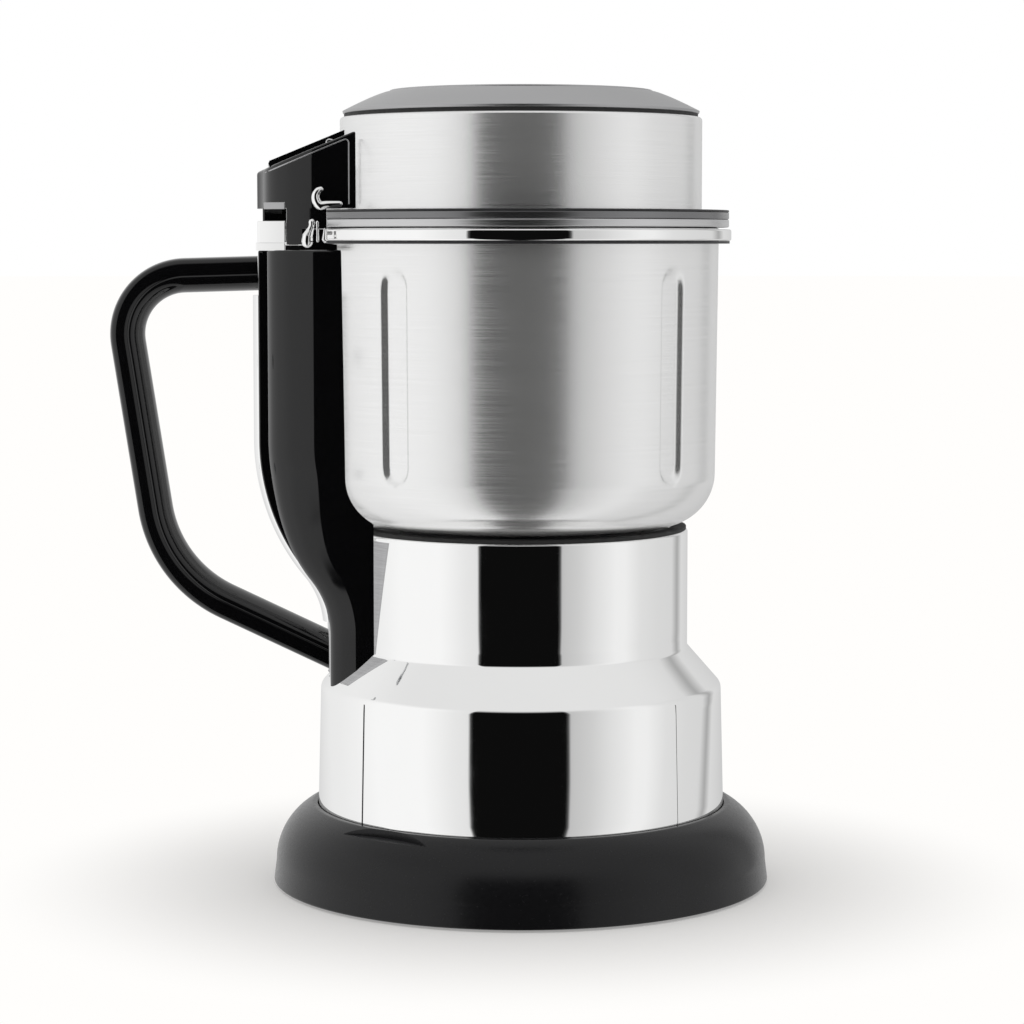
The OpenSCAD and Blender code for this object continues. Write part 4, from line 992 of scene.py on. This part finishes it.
@dataclass
class Spine:
    """The black spine beside the jar and its bright strip."""

    half: float = 29.3
    head_half: float = 26.0
    run: float = 20.4
    tail_run: float = 9.5
    nose: Nose = Nose(3.4, 18.5, 75.0, 4.0, 9.4, 0.5, 0.8)
    reach: float = 99.4
    tail: float = 73.6
    bend_z: float = 170.0
    upper_r: float = 80.0
    lower_r: float = 33.0
    top_z: float = 241.6
    edge: float = 0.9
    seat_z: float = 79.12
    seat_r: float = 76.7
    low_z: float = 78.7
    strip_t: float = 2.1
    strip_half: float = 8.5
    strip_z: tuple[float, float] = (101.0, 224.6)
    jar: Jar = field(default_factory=Jar)
    inner_low: float = 64.5
    wall_run: float = 92.0
    cone_top: float = 93.0
    close_z: float = 95.0
    taper_z: tuple[float, float] = (115.0, 160.0)
    head_top: float = 249.3
    head_r: tuple[float, float] = (75.05, 79.7)
    head_step_z: float = 244.0
    leg_r: float = 12.6
    rod_room: float = 10.4

    @property
    def sweep(self) -> float:
        """Angle of each curve, in radians: the two curves share the whole step inwards."""
        return math.acos(1 - (self.reach - self.tail) / (self.upper_r + self.lower_r))

    def path(self, count: int) -> Array:
        """Points [x, z, lean] down the nose: a straight, an arc that bends in, an arc that bends back.

        Args:
            count: Points in each arc.

        Returns:
            An array of points.
        """
        a = np.linspace(0, self.sweep, count)
        tail_z = self.bend_z - (self.upper_r + self.lower_r) * math.sin(self.sweep)
        up = np.stack([self.upper_r * (1 - np.cos(a)) - self.reach, self.bend_z - self.upper_r * np.sin(a), a], 1)
        b = a[::-1]
        low = np.stack([-self.tail - self.lower_r * (1 - np.cos(b)), tail_z + self.lower_r * np.sin(b), b], 1)
        ends = np.array([[-self.reach, self.top_z, 0]]), np.array([[-self.tail, self.low_z, 0]])
        return np.concatenate([ends[0], up, low[1:], ends[1]])

    def bore(self, z: Array) -> Array:
        """Radius of the round space inside the spine at a height: jar, corner of the jar, neck."""
        g = 0.15
        c = self.jar.corner + g
        centre_r = self.jar.mouth_r - self.jar.draft - self.jar.corner
        centre_z = self.jar.low_z + self.jar.corner
        dz = np.clip(centre_z - z, 0, c)
        arc = centre_r + np.sqrt(c * c - dz * dz)
        wall = self.jar.mouth_r - self.jar.draft + (z - centre_z) * self.jar.draft / self.wall_run + g
        return np.maximum(np.where(z > centre_z, wall, np.where(z > centre_z - c, arc, 0)), self.inner_low)

    def slices(self, zs: Array, nose: Array, lean: Array, run: Array, edge: Array) -> Array:
        """Closed level slices: the front's plan, the level sides, and the round space behind.

        Depths are stretched by 1 / cos of the lean. Each side is divided evenly between its panel and
        the round space, whose points stand at -sqrt(bore^2 - y^2).

        Args:
            zs: Heights.
            nose: Place of the nose at each height.
            lean: Lean of the nose at each height, in radians.
            run: Depth of the panels at each height.
            edge: Inset of each slice.

        Returns:
            Points as (slice, round the slice, 3).
        """
        half, bore = self.half, self.bore(zs)
        steps = np.maximum(self.nose.step * (run - self.tail_run) / (self.run - self.tail_run), 0.06)
        front = np.stack([self.nose.plan(half, r, step) for r, step in zip(run, steps)])
        x = (nose + edge)[:, None] + front[..., 0] / np.cos(lean)[:, None]
        y = front[..., 1] - np.sign(front[..., 1]) * edge[:, None]
        share = np.linspace(0, 1, 8)[1:][None]
        across = np.linspace(1, -1, 17)[1:-1][None]
        wide = half - edge[:, None]
        wall = -np.sqrt(bore[:, None] ** 2 - wide ** 2)
        x = np.minimum(x, wall - 0.01)
        ax, bx = x[:, :1] + (wall - x[:, :1]) * share, x[:, -1:] + (wall - x[:, -1:]) * share
        back = -np.sqrt(bore[:, None] ** 2 - (across * wide) ** 2)
        ones = np.ones_like(share)
        sx = np.concatenate([ax[:, ::-1], x, bx, back[:, ::-1]], 1)
        sy = np.concatenate([wide * ones, y, -wide * ones, (across * wide)[:, ::-1]], 1)
        return np.stack([sx, sy, np.broadcast_to(zs[:, None], sx.shape)], -1)

    def shell(self) -> bpy.types.Object:
        """The spine, in level slices from its top down to its tail, with its raised head.

        The panels' run falls from its full depth to the tail's by a smooth step. Below the saddle's
        seat the points rise onto its cone, whose height is seat height + seat radius - distance
        from the axis.

        Returns:
            The piece.
        """
        line = self.path(60)
        turn = np.linspace(0, np.pi / 2, 5)
        zs = np.concatenate([self.top_z - self.edge * (1 - np.cos(turn)),
                             np.linspace(self.top_z - 2, self.bend_z + 2, 12),
                             np.linspace(self.bend_z, self.close_z + 1, 90),
                             np.linspace(self.close_z, self.low_z, 18)])
        edge = np.concatenate([self.edge * (1 - np.sin(turn)), np.zeros(len(zs) - 5)])
        front = np.interp(-zs, -line[:, 1], line[:, 0])
        lean = np.interp(-zs, -line[:, 1], line[:, 2])
        low, high = self.taper_z
        run = self.tail_run + (self.run - self.tail_run) * smooth(np.clip((zs - low) / (high - low), 0, 1))
        pts = self.slices(zs, front, lean, run, edge)
        cone = self.seat_z + self.seat_r - np.hypot(pts[..., 0], pts[..., 1])
        pts[..., 2] = np.maximum(pts[..., 2], np.minimum(cone, self.cone_top))
        return merged("spine_moulded", [loft(pts), self.head()], 35)

    def head(self) -> tuple[Array, Array]:
        """The raised head beside the block's leg: a slab between the leg's circle and the jar.

        Returns:
            Points and faces.
        """
        z = np.linspace(self.top_z - 1.5, self.head_top, 14)
        hinge = pivot("lid_hinge")
        leg = hinge[0] + np.sqrt(np.maximum(self.leg_r ** 2 - (z - hinge[2]) ** 2, 0))
        leg = np.where(z < self.top_z + 0.7, hinge[0] + self.rod_room, leg)
        ys = np.linspace(-self.head_half, self.head_half, 31)
        low = np.broadcast_to(-np.sqrt(self.head_r[0] ** 2 - ys ** 2), (len(z), 31))
        high = np.minimum(-np.sqrt(self.head_r[1] ** 2 - ys ** 2), -self.jar.flat_x - 0.1)
        inner = np.where(z[:, None] > self.head_step_z, high, low)
        outer = np.repeat(leg[:, None], 31, 1)
        sx = np.concatenate([outer, inner[:, ::-1]], 1)
        sy = np.concatenate([np.broadcast_to(ys, outer.shape), np.broadcast_to(ys[::-1], outer.shape)], 1)
        return loft(np.stack([sx, sy, np.broadcast_to(z[:, None], sx.shape)], -1))

    def strip(self) -> bpy.types.Object:
        """The bright strip: a half ellipse sunk a little into the nose, carried down its path."""
        line = self.path(60)
        keep = (line[:, 1] < self.strip_z[1]) & (line[:, 1] > self.strip_z[0])
        line = np.concatenate([[[-self.reach, self.strip_z[1], 0]], line[keep]])
        t = np.linspace(0, np.pi, 21)
        out = np.concatenate([self.strip_t * np.sin(t), [-1.0, -1.0]])
        y = np.concatenate([-self.strip_half * np.cos(t), [self.strip_half, -self.strip_half]])
        x = line[:, 0][:, None] - out[None] * np.cos(line[:, 2])[:, None]
        z = line[:, 1][:, None] - out[None] * np.sin(line[:, 2])[:, None]
        return merged("spine_strip", [loft(np.stack([x, np.broadcast_to(y, x.shape), z], -1))])

    def build(self, shop: Workshop) -> None:
        """Builds the spine and fits every piece through the workshop."""
        shop.fit(self.shell(), "jug", "gloss_black", "spine", mirrored=False)
        shop.fit(self.strip(), "jug", "chrome", "spine_trim")


class Side(Enum):
    """The two halves of the handle."""

    OUTER = 1
    INNER = -1


@dataclass
class Handle:
    """The looped handle in two halves that meet on a fine parting line."""

    thick: float = 15.0
    wide: float = 20.0
    arm_thick: float = 13.0
    powers: tuple[float, float] = (5.0, 2.1)
    crease: float = 0.45
    crease_half: float = 0.7
    bends: tuple[float, float] = (22.0, 48.0)
    tail_x: float = -73.75
    points: tuple[tuple[float, float], ...] = (
        (-99.45, 232.9), (-151.9, 231.4), (-135.0, 119.8), (-65.6, 86.17))

    def middle(self, count: int) -> Array:
        """Stations [x, z, heading] of the middle line: straights joined by one arc at each bend."""
        p = np.array(self.points)
        out = [np.array([[*p[0], math.atan2(*(p[1] - p[0])[::-1])]])]
        for i, r in zip((1, 2), self.bends):
            h0 = math.atan2(*(p[i] - p[i - 1])[::-1])
            h1 = math.atan2(*(p[i + 1] - p[i])[::-1])
            turn = (h1 - h0) % (2 * math.pi)
            start = p[i] - (p[i] - p[i - 1]) / np.linalg.norm(p[i] - p[i - 1]) * r * math.tan(turn / 2)
            centre = start + r * np.array([-math.sin(h0), math.cos(h0)])
            h = h0 + turn * np.linspace(0, 1, count)
            out.append(np.stack([centre[0] + r * np.sin(h), centre[1] - r * np.cos(h), h], 1))
        out.append(np.array([[*p[3], math.atan2(*(p[3] - p[2])[::-1])]]))
        return np.concatenate(out)

    def half(self, side: Side) -> bpy.types.Object:
        """One half: half of a superellipse, creased along the parting line, on the middle line.

        The section is (t cos^(2/n) u, w sin^(2/n) u), boxier outside than inside; near the parting
        line its width shrinks by crease exp(-(o / crease half)^2). The point at station s and section
        point (o, y) is middle(s) + o (sin heading, -cos heading), and the upper arm is thinner than
        the rest. The last station stands against the spine.

        Args:
            side: Outer or inner half.

        Returns:
            The piece.
        """
        t, w = self.thick / 2, self.wide / 2
        u = np.linspace(-1, 1, 65) * np.pi / 2
        u = np.sign(u) * np.pi / 2 * (1 - (1 - np.abs(u) / (np.pi / 2)) ** 1.5)
        power = self.powers[0] if side is Side.OUTER else self.powers[1]
        o = t * np.cos(u).clip(0) ** (2 / power)
        y = np.sign(u) * w * np.abs(np.sin(u)) ** (2 / power)
        y = y * (1 - self.crease / w * np.exp(-(o / self.crease_half) ** 2))
        line = self.middle(32)
        down = np.clip((line[:, 2:] - math.pi) / 1.4, 0, 1)
        o = o[None] * (self.arm_thick + (self.thick - self.arm_thick) * down) / self.thick
        x = line[:, :1] + side.value * o * np.sin(line[:, 2:])
        z = line[:, 1:2] - side.value * o * np.cos(line[:, 2:])
        slope = (line[-1, 1] - line[-2, 1]) / (line[-1, 0] - line[-2, 0])
        z[-1] = z[-2] + (self.tail_x - x[-2]) * slope
        x[-1] = self.tail_x
        pts = np.stack([x, np.broadcast_to(y, x.shape), z], -1)
        return merged(f"handle_{side.name.lower()}_moulded", [loft(pts)], 40)

    def build(self, shop: Workshop) -> None:
        """Builds both halves and fits every piece through the workshop."""
        for side in Side:
            shop.fit(self.half(side), "jug", "gloss_black", f"handle_{side.name.lower()}", mirrored=False)


# ---------------------------------------------------------------- lid

@dataclass
class Lid:
    """The lid: brushed wall, dark ring of painted shade between wall and top, grey top with its disc, and two rings.
    """

    wall_r: float = 68.4
    low_z: float = 250.0
    wall_top: float = 291.3
    dome_z: float = 292.6
    crown_z: float = 300.8
    disc_r: float = 50.8
    ring_r: float = 78.7
    ring_h: float = 3.0
    carrier_z: float = 253.0
    carrier_h: float = 3.5
    edge_h: float = 0.9
    jar: Jar = field(default_factory=Jar)

    def wall(self) -> bpy.types.Object:
        """The brushed wall: a thin section with a rolled top edge, turned round the axis."""
        r = self.wall_r
        loop = rounded([(r, self.low_z), (r, self.wall_top), (r - 6, self.wall_top), (r - 6, self.wall_top - 1),
                        (r - 1, self.wall_top - 1), (r - 1, self.low_z)], [0, 1.3, 0.3, 0, 0, 0], 8)
        return merged("lid_wall_spun", [turned(refined(loop, 3.0))])

    def top(self) -> bpy.types.Object:
        """The grey top: its height follows 1 - (1 - s)^1.2 from the edge to the disc, then a flat.

        Returns:
            The piece.
        """
        r = self.wall_r
        s = np.linspace(0, 1, 40)
        dome = np.stack([r - 1 - (r - 1 - self.disc_r) * s,
                         self.dome_z + 1 + (self.crown_z - self.dome_z - 1) * (1 - (1 - s) ** 1.2)], 1)
        seat = self.crown_z - 0.8
        loop = np.concatenate([rounded([(0.0, self.dome_z), (r - 1.2, self.dome_z), tuple(dome[0])], [0, 0.5, 0], 5,
                                       closed=False)[:-1], dome,
                               [[self.disc_r - 0.8, self.crown_z], [self.disc_r - 1, self.crown_z - 0.2],
                                [self.disc_r - 1, seat], [0.0, seat]]])
        return merged("lid_top_spun", [turned(loop)], 30)

    def disc(self) -> bpy.types.Object:
        """The disc on top: a flat plate with a rounded edge, turned round the axis."""
        z0, z1, r = self.crown_z - 0.75, self.crown_z + 0.65, self.disc_r - 1.05
        return merged("top_disc_turned", [turned(box_loop(0.0, r, z0, z1, [0, 0.1, 0.5, 0]))])

    def ring(self, name: str, z0: float, h: float, bevel: float) -> bpy.types.Object:
        """One ring at the foot of the lid, with a flat at the hinge.

        Args:
            name: Name of the piece.
            z0: Its lower face.
            h: Its height.
            bevel: Radius of its outer edges.

        Returns:
            The piece.
        """
        loop = box_loop(self.wall_r + 0.05, self.ring_r, z0, z0 + h, [0, bevel, bevel, 0])
        return self.jar.ring(name, loop, 150)

    def build(self, shop: Workshop) -> None:
        """Builds the lid and fits every piece through the workshop."""
        shop.fit(self.wall(), "lid", "brushed", "lid_wall")
        shop.fit(self.top(), "lid", "satin_steel", "lid_top")
        shop.fit(self.disc(), "lid", "satin_steel", "top_disc")
        shop.fit(self.ring("lid_ring_turned", self.low_z, self.ring_h, 0.6), "lid", "brushed", "lid_ring",
                 finish="ring_steel")
        low, edge = self.carrier_z + 0.05, self.edge_h
        shop.fit(self.ring("seal_carrier_turned", low, self.carrier_h - edge, 0.4), "lid", "inner_black",
                 "seal_carrier", finish="dark_ring")
        # A black band on top of the seal carrier: partly the carrier's dark top edge, partly painted shade under the
        # lid wall.
        shop.fit(self.ring("seal_edge", low + self.carrier_h - edge + 0.02, edge - 0.1, 0.3), "lid", "inner_black")


# ---------------------------------------------------------------- hinge and catch

@dataclass
class Hinge:
    """What joins lid and jug: block, bracket ears, catch hook and keeper clip."""

    half: float = 26.0
    run: float = 20.4
    nose_x: float = -99.6
    floor_z: float = 257.0
    nose_top: float = 270.5
    slope: float = 0.4122
    back_r: float = 68.55
    edge: float = 0.9
    sink: float = 0.4
    leg_x: tuple[float, float, float] = (-88.8, -83.2, -74.2)
    leg_z: tuple[float, float] = (243.6, 249.45)
    leg_r: float = 12.3
    core_half: float = 14.0
    rod_half: float = 2.6
    pin_half: float = 15.0
    ear_x: tuple[float, float] = (-99.6, -89.3)
    ear_y: tuple[float, float] = (18.6, 23.4)
    foot_x: tuple[float, float] = (-100.2, -89.3)
    ear_z: tuple[float, float] = (244.4, 252.3)
    foot_z: tuple[float, float] = (241.4, 244.3)
    plate_x: tuple[float, float] = (-98.0, -82.5)
    ledge_x: tuple[float, float] = (-97.2, -89.3)
    ledge_y: tuple[float, float] = (17.2, 22.9)
    ledge_z: tuple[float, float] = (256.7, 259.2)
    highlight_bead_r: float = 0.24
    highlight_bead_drop: float = 1.6
    highlight_bead_end: tuple[float, float] = (-65.9, 258.5)
    hook_y: float = -28.0
    hook: tuple[tuple[float, float, float], ...] = (
        (0.0, -0.5, 1.1), (-4.1, -0.7, 1.3), (-7.2, -1.0, 1.6), (-8.6, 0.7, 1.6), (-8.8, 2.7, 1.4),
        (-7.9, 4.3, 1.2), (-6.9, 4.9, 0.9))
    clip_y: float = -26.9
    clip_plate: tuple[tuple[float, float, float], ...] = (
        (-81.4, 244.6, 2.1), (-81.2, 246.6, 2.0), (-80.3, 248.8, 1.3), (-79.8, 250.3, 1.0), (-79.6, 251.8, 1.2))
    clip_rod: tuple[tuple[float, float, float], ...] = (
        (-77.5, 245.0, 0.5), (-77.5, 248.0, 0.45), (-77.6, 251.8, 0.5))
    clip_cone: tuple[tuple[float, float, float], ...] = (
        (-75.1, 245.6, 0.85), (-75.0, 247.5, 0.55), (-74.9, 249.4, 0.3))
    nose: Nose = Nose(2.3, 18.0, 80.0, 3.0, 9.4, 2.2, 0.3, 4.5)

    def outline(self) -> Array:
        """Plan of the block: flat nose, slanted panels, level sides, and an arc round the lid wall."""
        front = self.nose.plan(self.half, self.run, self.nose.step)
        front = np.stack([front[:, 0] + self.nose_x, front[:, 1]], 1)
        y = np.linspace(-self.half, self.half, 17)
        return np.concatenate([front, np.stack([-np.sqrt(self.back_r ** 2 - y ** 2), y], 1)])

    def top(self, x: Array) -> Array:
        """Height of the block's sloping top at a given x."""
        return self.nose_top + self.slope * (x - self.nose_x)

    def panel_y(self, x: float) -> float:
        """Distance of the block's side from the middle plane at a given x."""
        front = self.nose.plan(self.half, self.run, self.nose.step)
        front = front[: len(front) // 2][::-1]
        return float(np.interp(x - self.nose_x, front[:, 0], front[:, 1]))

    def leg(self, x0: float, x1: float, low: float) -> tuple[Array, Array]:
        """A part of the leg below the slab, whose sides follow the panels.

        Args:
            x0: Its end towards the nose.
            x1: Its other end.
            low: Its lower face.

        Returns:
            Points and faces.
        """
        x = np.linspace(x0, x1, 12)
        y = np.array([self.panel_y(v) for v in x]) - 0.02
        plan = np.concatenate([np.stack([x, y], 1), np.stack([x, -y], 1)[::-1]])
        return slab_z(plan, low, level(self.floor_z + self.sink), 0.2)

    def block(self) -> bpy.types.Object:
        """The block: a sloping slab, its leg beside the hinge pin, and the core between the ears.

        Returns:
            The piece.
        """
        front, mid, back = self.leg_x
        hinge = pivot("lid_hinge")
        t = np.linspace(math.asin((self.leg_z[1] - hinge[2]) / self.leg_r),
                        math.asin((self.leg_z[0] - hinge[2]) / self.leg_r), 12)
        arc = np.stack([hinge[0] + self.leg_r * np.cos(t), hinge[2] + self.leg_r * np.sin(t)], 1)
        heel = np.concatenate([[(mid - 0.8, self.leg_z[1] + 0.1)], arc, [(mid - 0.8, self.leg_z[0])]])
        side = self.panel_y(mid - 0.8) - 0.02
        x0, x1, z0, z1 = self.nose_x + 2.0, front + 1, self.ear_z[0] + 0.2, self.floor_z + self.sink
        core = [(x0, z0), (x1, z0), (x1, z1), (x0, z1)]
        return merged("hinge_block_moulded", [
            slab_z(self.outline(), self.floor_z, self.top, self.edge), self.leg(front, mid, self.leg_z[0]),
            self.leg(mid - 0.1, back, self.leg_z[1]), bar_y(heel, -side, side, 0.2),
            bar_y(rounded(core, [2.0, 0, 0, 0.6], 5), -self.core_half, self.core_half, 0.8)], 35)

    def pins(self) -> bpy.types.Object:
        """The pins of the run lever and of the catch."""
        lever, catch = pivot("lever_press"), pivot("catch_turn")
        ring = circle(32)
        return merged("block_pins_turned", [
            bar_y(ring * 1.4 + lever[[0, 2]], -16.5, 16.5, 0.3),
            bar_y(ring * 0.9 + catch[[0, 2]] - [0.0, 0.6], self.hook_y - 0.3, -self.half + 4, 0.2)])

    def pin(self) -> bpy.types.Object:
        """The hinge pin between the ears."""
        ring = circle(40, 2.0) + pivot("lid_hinge")[[0, 2]]
        return merged("hinge_pin_turned", [bar_y(ring, -self.pin_half, self.pin_half, 0.4)])

    def slant_plate(self, side: float, xs: tuple[float, float], ys: tuple[float, float],
                    zs: tuple[float, float], thick: float, radius: float = 0.3) -> tuple[Array, Array]:
        """An upright plate along a slanted line, with rounded corners and top.

        Args:
            side: 1 for the back, -1 for the front.
            xs: Its ends along X.
            ys: Distance of its outer face from the middle plane at both ends.
            zs: Its lower and upper edge.
            thick: Its thickness.
            radius: Radius of its corner at the nose.

        Returns:
            Points and faces.
        """
        plan = np.array([(xs[0], ys[0]), (xs[1], ys[1]), (xs[1], ys[1] - thick), (xs[0], ys[0] - thick)]) * [1, side]
        return slab_z(rounded(plan, [radius, 0.3, 0.2, 0.2], 6), zs[0], level(zs[1]), 0.3)

    def bracket(self) -> bpy.types.Object:
        """The bracket on the spine: an ear on each side and its foot."""
        parts = []
        for side in (-1.0, 1.0):
            parts.append(self.slant_plate(side, self.ear_x, self.ear_y, self.ear_z, 2.2, 1.4))
            parts.append(self.slant_plate(side, self.foot_x, self.ear_y, self.foot_z, 5.0, 0.6))
        x0, x1 = self.plate_x
        for y0, y1 in ((-self.core_half, -self.rod_half), (self.rod_half, self.core_half)):
            plan = np.array([(x0, y0), (x1, y0), (x1, y1), (x0, y1)])
            parts.append(slab_z(plan, self.foot_z[0], level(self.leg_z[0] - 0.12), 0.2))
        return merged("hinge_bracket_pressed", parts)

    def ledge(self) -> bpy.types.Object:
        """The bright lip under each slanted panel of the block."""
        parts = [self.slant_plate(side, self.ledge_x, self.ledge_y, self.ledge_z, 1.4) for side in (-1.0, 1.0)]
        return merged("block_lip", parts)

    def highlight_bead(self) -> bpy.types.Object:
        """A fine steel line round the block's front face, up along the slope and then down its edge: a painted
        highlight standing for the light on the face's bevel.
        """
        low, high = self.nose_x + 3.0, self.highlight_bead_end[0]
        corners = [(low, self.top(low) - self.highlight_bead_drop), (high, self.top(high) - self.highlight_bead_drop), self.highlight_bead_end]
        line = refined(rounded(corners, [0, 1.2, 0], 4, closed=False), 2.0, closed=False)
        go = np.gradient(line, axis=0)
        go /= np.linalg.norm(go, axis=1, keepdims=True)
        y = np.array([self.panel_y(x) for x in line[:, 0]])[:, None] + 0.05
        out, up = circle(12, self.highlight_bead_r).T
        rings = [np.stack([line[:, :1] - go[:, 1:] * out, side * (y + up), line[:, 1:] + go[:, :1] * out], -1)
                 for side in (-1.0, 1.0)]
        return merged("block_bead", [loft(p) for p in rings])

    def catch(self) -> bpy.types.Object:
        """The hook on the block's front: a bent bar that swells at its bend."""
        return merged("catch_hook_bent", [tube(self.hook, self.hook_y, pivot("catch_turn")[[0, 2]])])

    def clip(self) -> bpy.types.Object:
        """The keeper clip: a cushioned plate with a curled top, a fine rod and a small cone beside it."""
        return merged("keeper_clip_pressed", [
            tube(self.clip_plate, self.clip_y + 0.6), tube(self.clip_rod, self.clip_y),
            tube(self.clip_cone, self.clip_y)])

    def build(self, shop: Workshop) -> None:
        """Builds the hinge and the catch and fits every piece through the workshop."""
        shop.fit(self.block(), "lid", shop.slots["hinge_block"], "hinge_block", mirrored=False)
        shop.fit(self.ledge(), "lid", "satin_steel")
        # A fine steel line round the block's front face: a painted highlight on its bevel.
        shop.fit(self.highlight_bead(), "lid", "satin_steel")
        shop.fit(self.bracket(), "jug", "chrome", "hinge_bracket")
        shop.fit(self.pin(), "jug", shop.slots["hinge_pin"], "hinge_pin")
        shop.fit(self.pins(), "lid", shop.slots["block_pins"], "block_pins", mirrored=False)
        shop.fit(self.catch(), "catch", "chrome", "catch_lever", mirrored=False)
        shop.fit(self.clip(), "jug", "chrome", "keeper_clip", mirrored=False)
        frame["nodes"]["run_lever"].visible_glossy = False


# ---------------------------------------------------------------- studio

@dataclass
class Studio:
    """Camera, floor, world and lamps."""

    azimuth: float = -5.0
    distance: float = 1.14
    eye: float = 0.245
    aim: float = 0.1417
    shift: float = 0.0034
    lens: float = 105.2
    stops: tuple[tuple[float, float], ...] = (
        (-180, 0.72), (-145, 0.86), (-127, 0.88), (-109, 0.92), (-90, 0.98), (-57, 0.98), (-48, 0.92), (-38, 0.84),
        (-29.5, 0.8), (-28, 0.004), (26.5, 0.004), (28, 0.55), (40, 0.64), (52, 0.77), (68, 0.9), (76, 0.9),
        (90, 0.77), (108, 0.72), (127, 0.7), (136, 0.4), (145, 0.72), (180, 0.6))

    def camera(self) -> None:
        """The camera, at eye height in front of the mixer, turned a little towards the handle."""
        a = math.radians(self.azimuth)
        right = np.array([math.cos(a), math.sin(a), 0])
        place = np.array([math.sin(a) * self.distance, -math.cos(a) * self.distance, self.eye])
        target = np.array([0, 0, self.aim]) - right * self.shift
        data = bpy.data.cameras.new("camera")
        data.lens, data.sensor_width = self.lens, 36.0
        data.clip_start, data.clip_end = 0.01, 50
        eye = bpy.data.objects.new("camera", data)
        bpy.context.scene.collection.objects.link(eye)
        eye.location = place
        eye.rotation_euler = Vector(target - place).to_track_quat("-Z", "Y").to_euler()
        bpy.context.scene.camera = eye

    def floor(self) -> None:
        """A wide round floor that keeps the shadow near the mixer and fades to the backdrop's white."""
        r = np.array([0, 0.12, 0.25, 0.5, 1.0, 2.0, 6.0, 20.0])
        xy = r[:, None, None] * circle(96)
        pts = np.concatenate([xy, np.zeros((*xy.shape[:2], 1))], -1)
        plate = merged("floor", [(pts / MM, grid_faces(*xy.shape[:2], False, True))])
        if plate.data.polygons[2 * xy.shape[1]].normal.z < 0:
            plate.data.flip_normals()
        material = bpy.data.materials.new("floor_pale")
        material.use_nodes = True
        tree = material.node_tree
        tree.nodes.clear()
        paint = add(tree, "ShaderNodeBsdfDiffuse", {"Color": (0.93, 0.92, 0.905, 1)})
        glow = add(tree, "ShaderNodeEmission", {"Color": (1.0, 0.99, 0.975, 1)})
        place = tree.nodes.new("ShaderNodeTexCoord").outputs["Object"]
        away = add(tree, "ShaderNodeVectorMath", {0: place}, "LENGTH")
        fade = ranged(tree, away, (0.095, 0.21), (0.3, 1.0), eased=True)
        seen = tree.nodes.new("ShaderNodeLightPath").outputs["Is Camera Ray"]
        gate = add(tree, "ShaderNodeMath", {0: fade, 1: seen}, "MULTIPLY")
        mix = add(tree, "ShaderNodeMixShader", {0: gate, 1: paint, 2: glow})
        tree.links.new(mix, tree.nodes.new("ShaderNodeOutputMaterial").inputs["Surface"])
        plate.data.materials.append(material)
        plate.visible_glossy = False

    def world(self) -> None:
        """Plain white for the camera; every other ray sees pale surroundings with a dark card in front.

        The brightness at a direction is read from stops by its angle round the axis, which is
        stretched a little below the horizon, and runs into an even grey high above it.
        """
        world = bpy.data.worlds.new("room")
        bpy.context.scene.world = world
        world.use_nodes = True
        tree = world.node_tree
        tree.nodes.clear()
        place = tree.nodes.new("ShaderNodeTexCoord").outputs["Generated"]
        faced = add(tree, "ShaderNodeMapping", {"Vector": place, "Rotation": (0, 0, -math.radians(self.azimuth))})
        split = feed(tree, tree.nodes.new("ShaderNodeSeparateXYZ"), {0: faced})
        x, y, z = split.outputs
        front = add(tree, "ShaderNodeMath", {0: y, 1: -1.0}, "MULTIPLY")
        angle = add(tree, "ShaderNodeMath", {0: x, 1: front}, "ARCTAN2")
        stretch = ranged(tree, z, (-0.18, -0.13), (1.12, 1.0))
        narrow = add(tree, "ShaderNodeMath", {0: angle, 1: stretch}, "MULTIPLY")
        share = ranged(tree, narrow, (-math.pi, math.pi), (0.0, 1.0))
        ramp = feed(tree, tree.nodes.new("ShaderNodeValToRGB"), {"Fac": share})
        elements = ramp.color_ramp.elements
        while len(elements) > 1:
            elements.remove(elements[-1])
        for i, (degrees, value) in enumerate(self.stops):
            along = (degrees + 180) / 360
            stop = elements.new(along) if i else elements[0]
            stop.position, stop.color = along, (value, value, value, 1)
        lift = ranged(tree, z, (0.45, 0.8), (0.0, 1.0), eased=True)
        room = add(tree, "ShaderNodeBackground",
                   {"Color": blend(tree, lift, ramp.outputs["Color"], (0.8, 0.8, 0.8, 1)), "Strength": 1.0})
        white = add(tree, "ShaderNodeBackground", {"Color": (1, 1, 1, 1)})
        seen = tree.nodes.new("ShaderNodeLightPath").outputs["Is Camera Ray"]
        mix = add(tree, "ShaderNodeMixShader", {0: seen, 1: room, 2: white})
        tree.links.new(mix, tree.nodes.new("ShaderNodeOutputWorld").inputs["Surface"])

    def build(self) -> None:
        """Sets the camera, the floor and the light."""
        self.camera()
        self.floor()
        self.world()
        bpy.context.scene.view_settings.view_transform = "Standard"


def main() -> None:
    """Builds every sub-assembly in order, then the studio."""
    logging.basicConfig(level=logging.INFO, format="%(name)s: %(message)s")
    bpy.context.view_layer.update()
    shop = Workshop()
    shop.dress_nodes()
    for part in (Base(), Jar(), Spine(), Handle(), Lid(), Hinge()):
        part.build(shop)
    Studio().build()


if __name__ == "__main__":
    main()
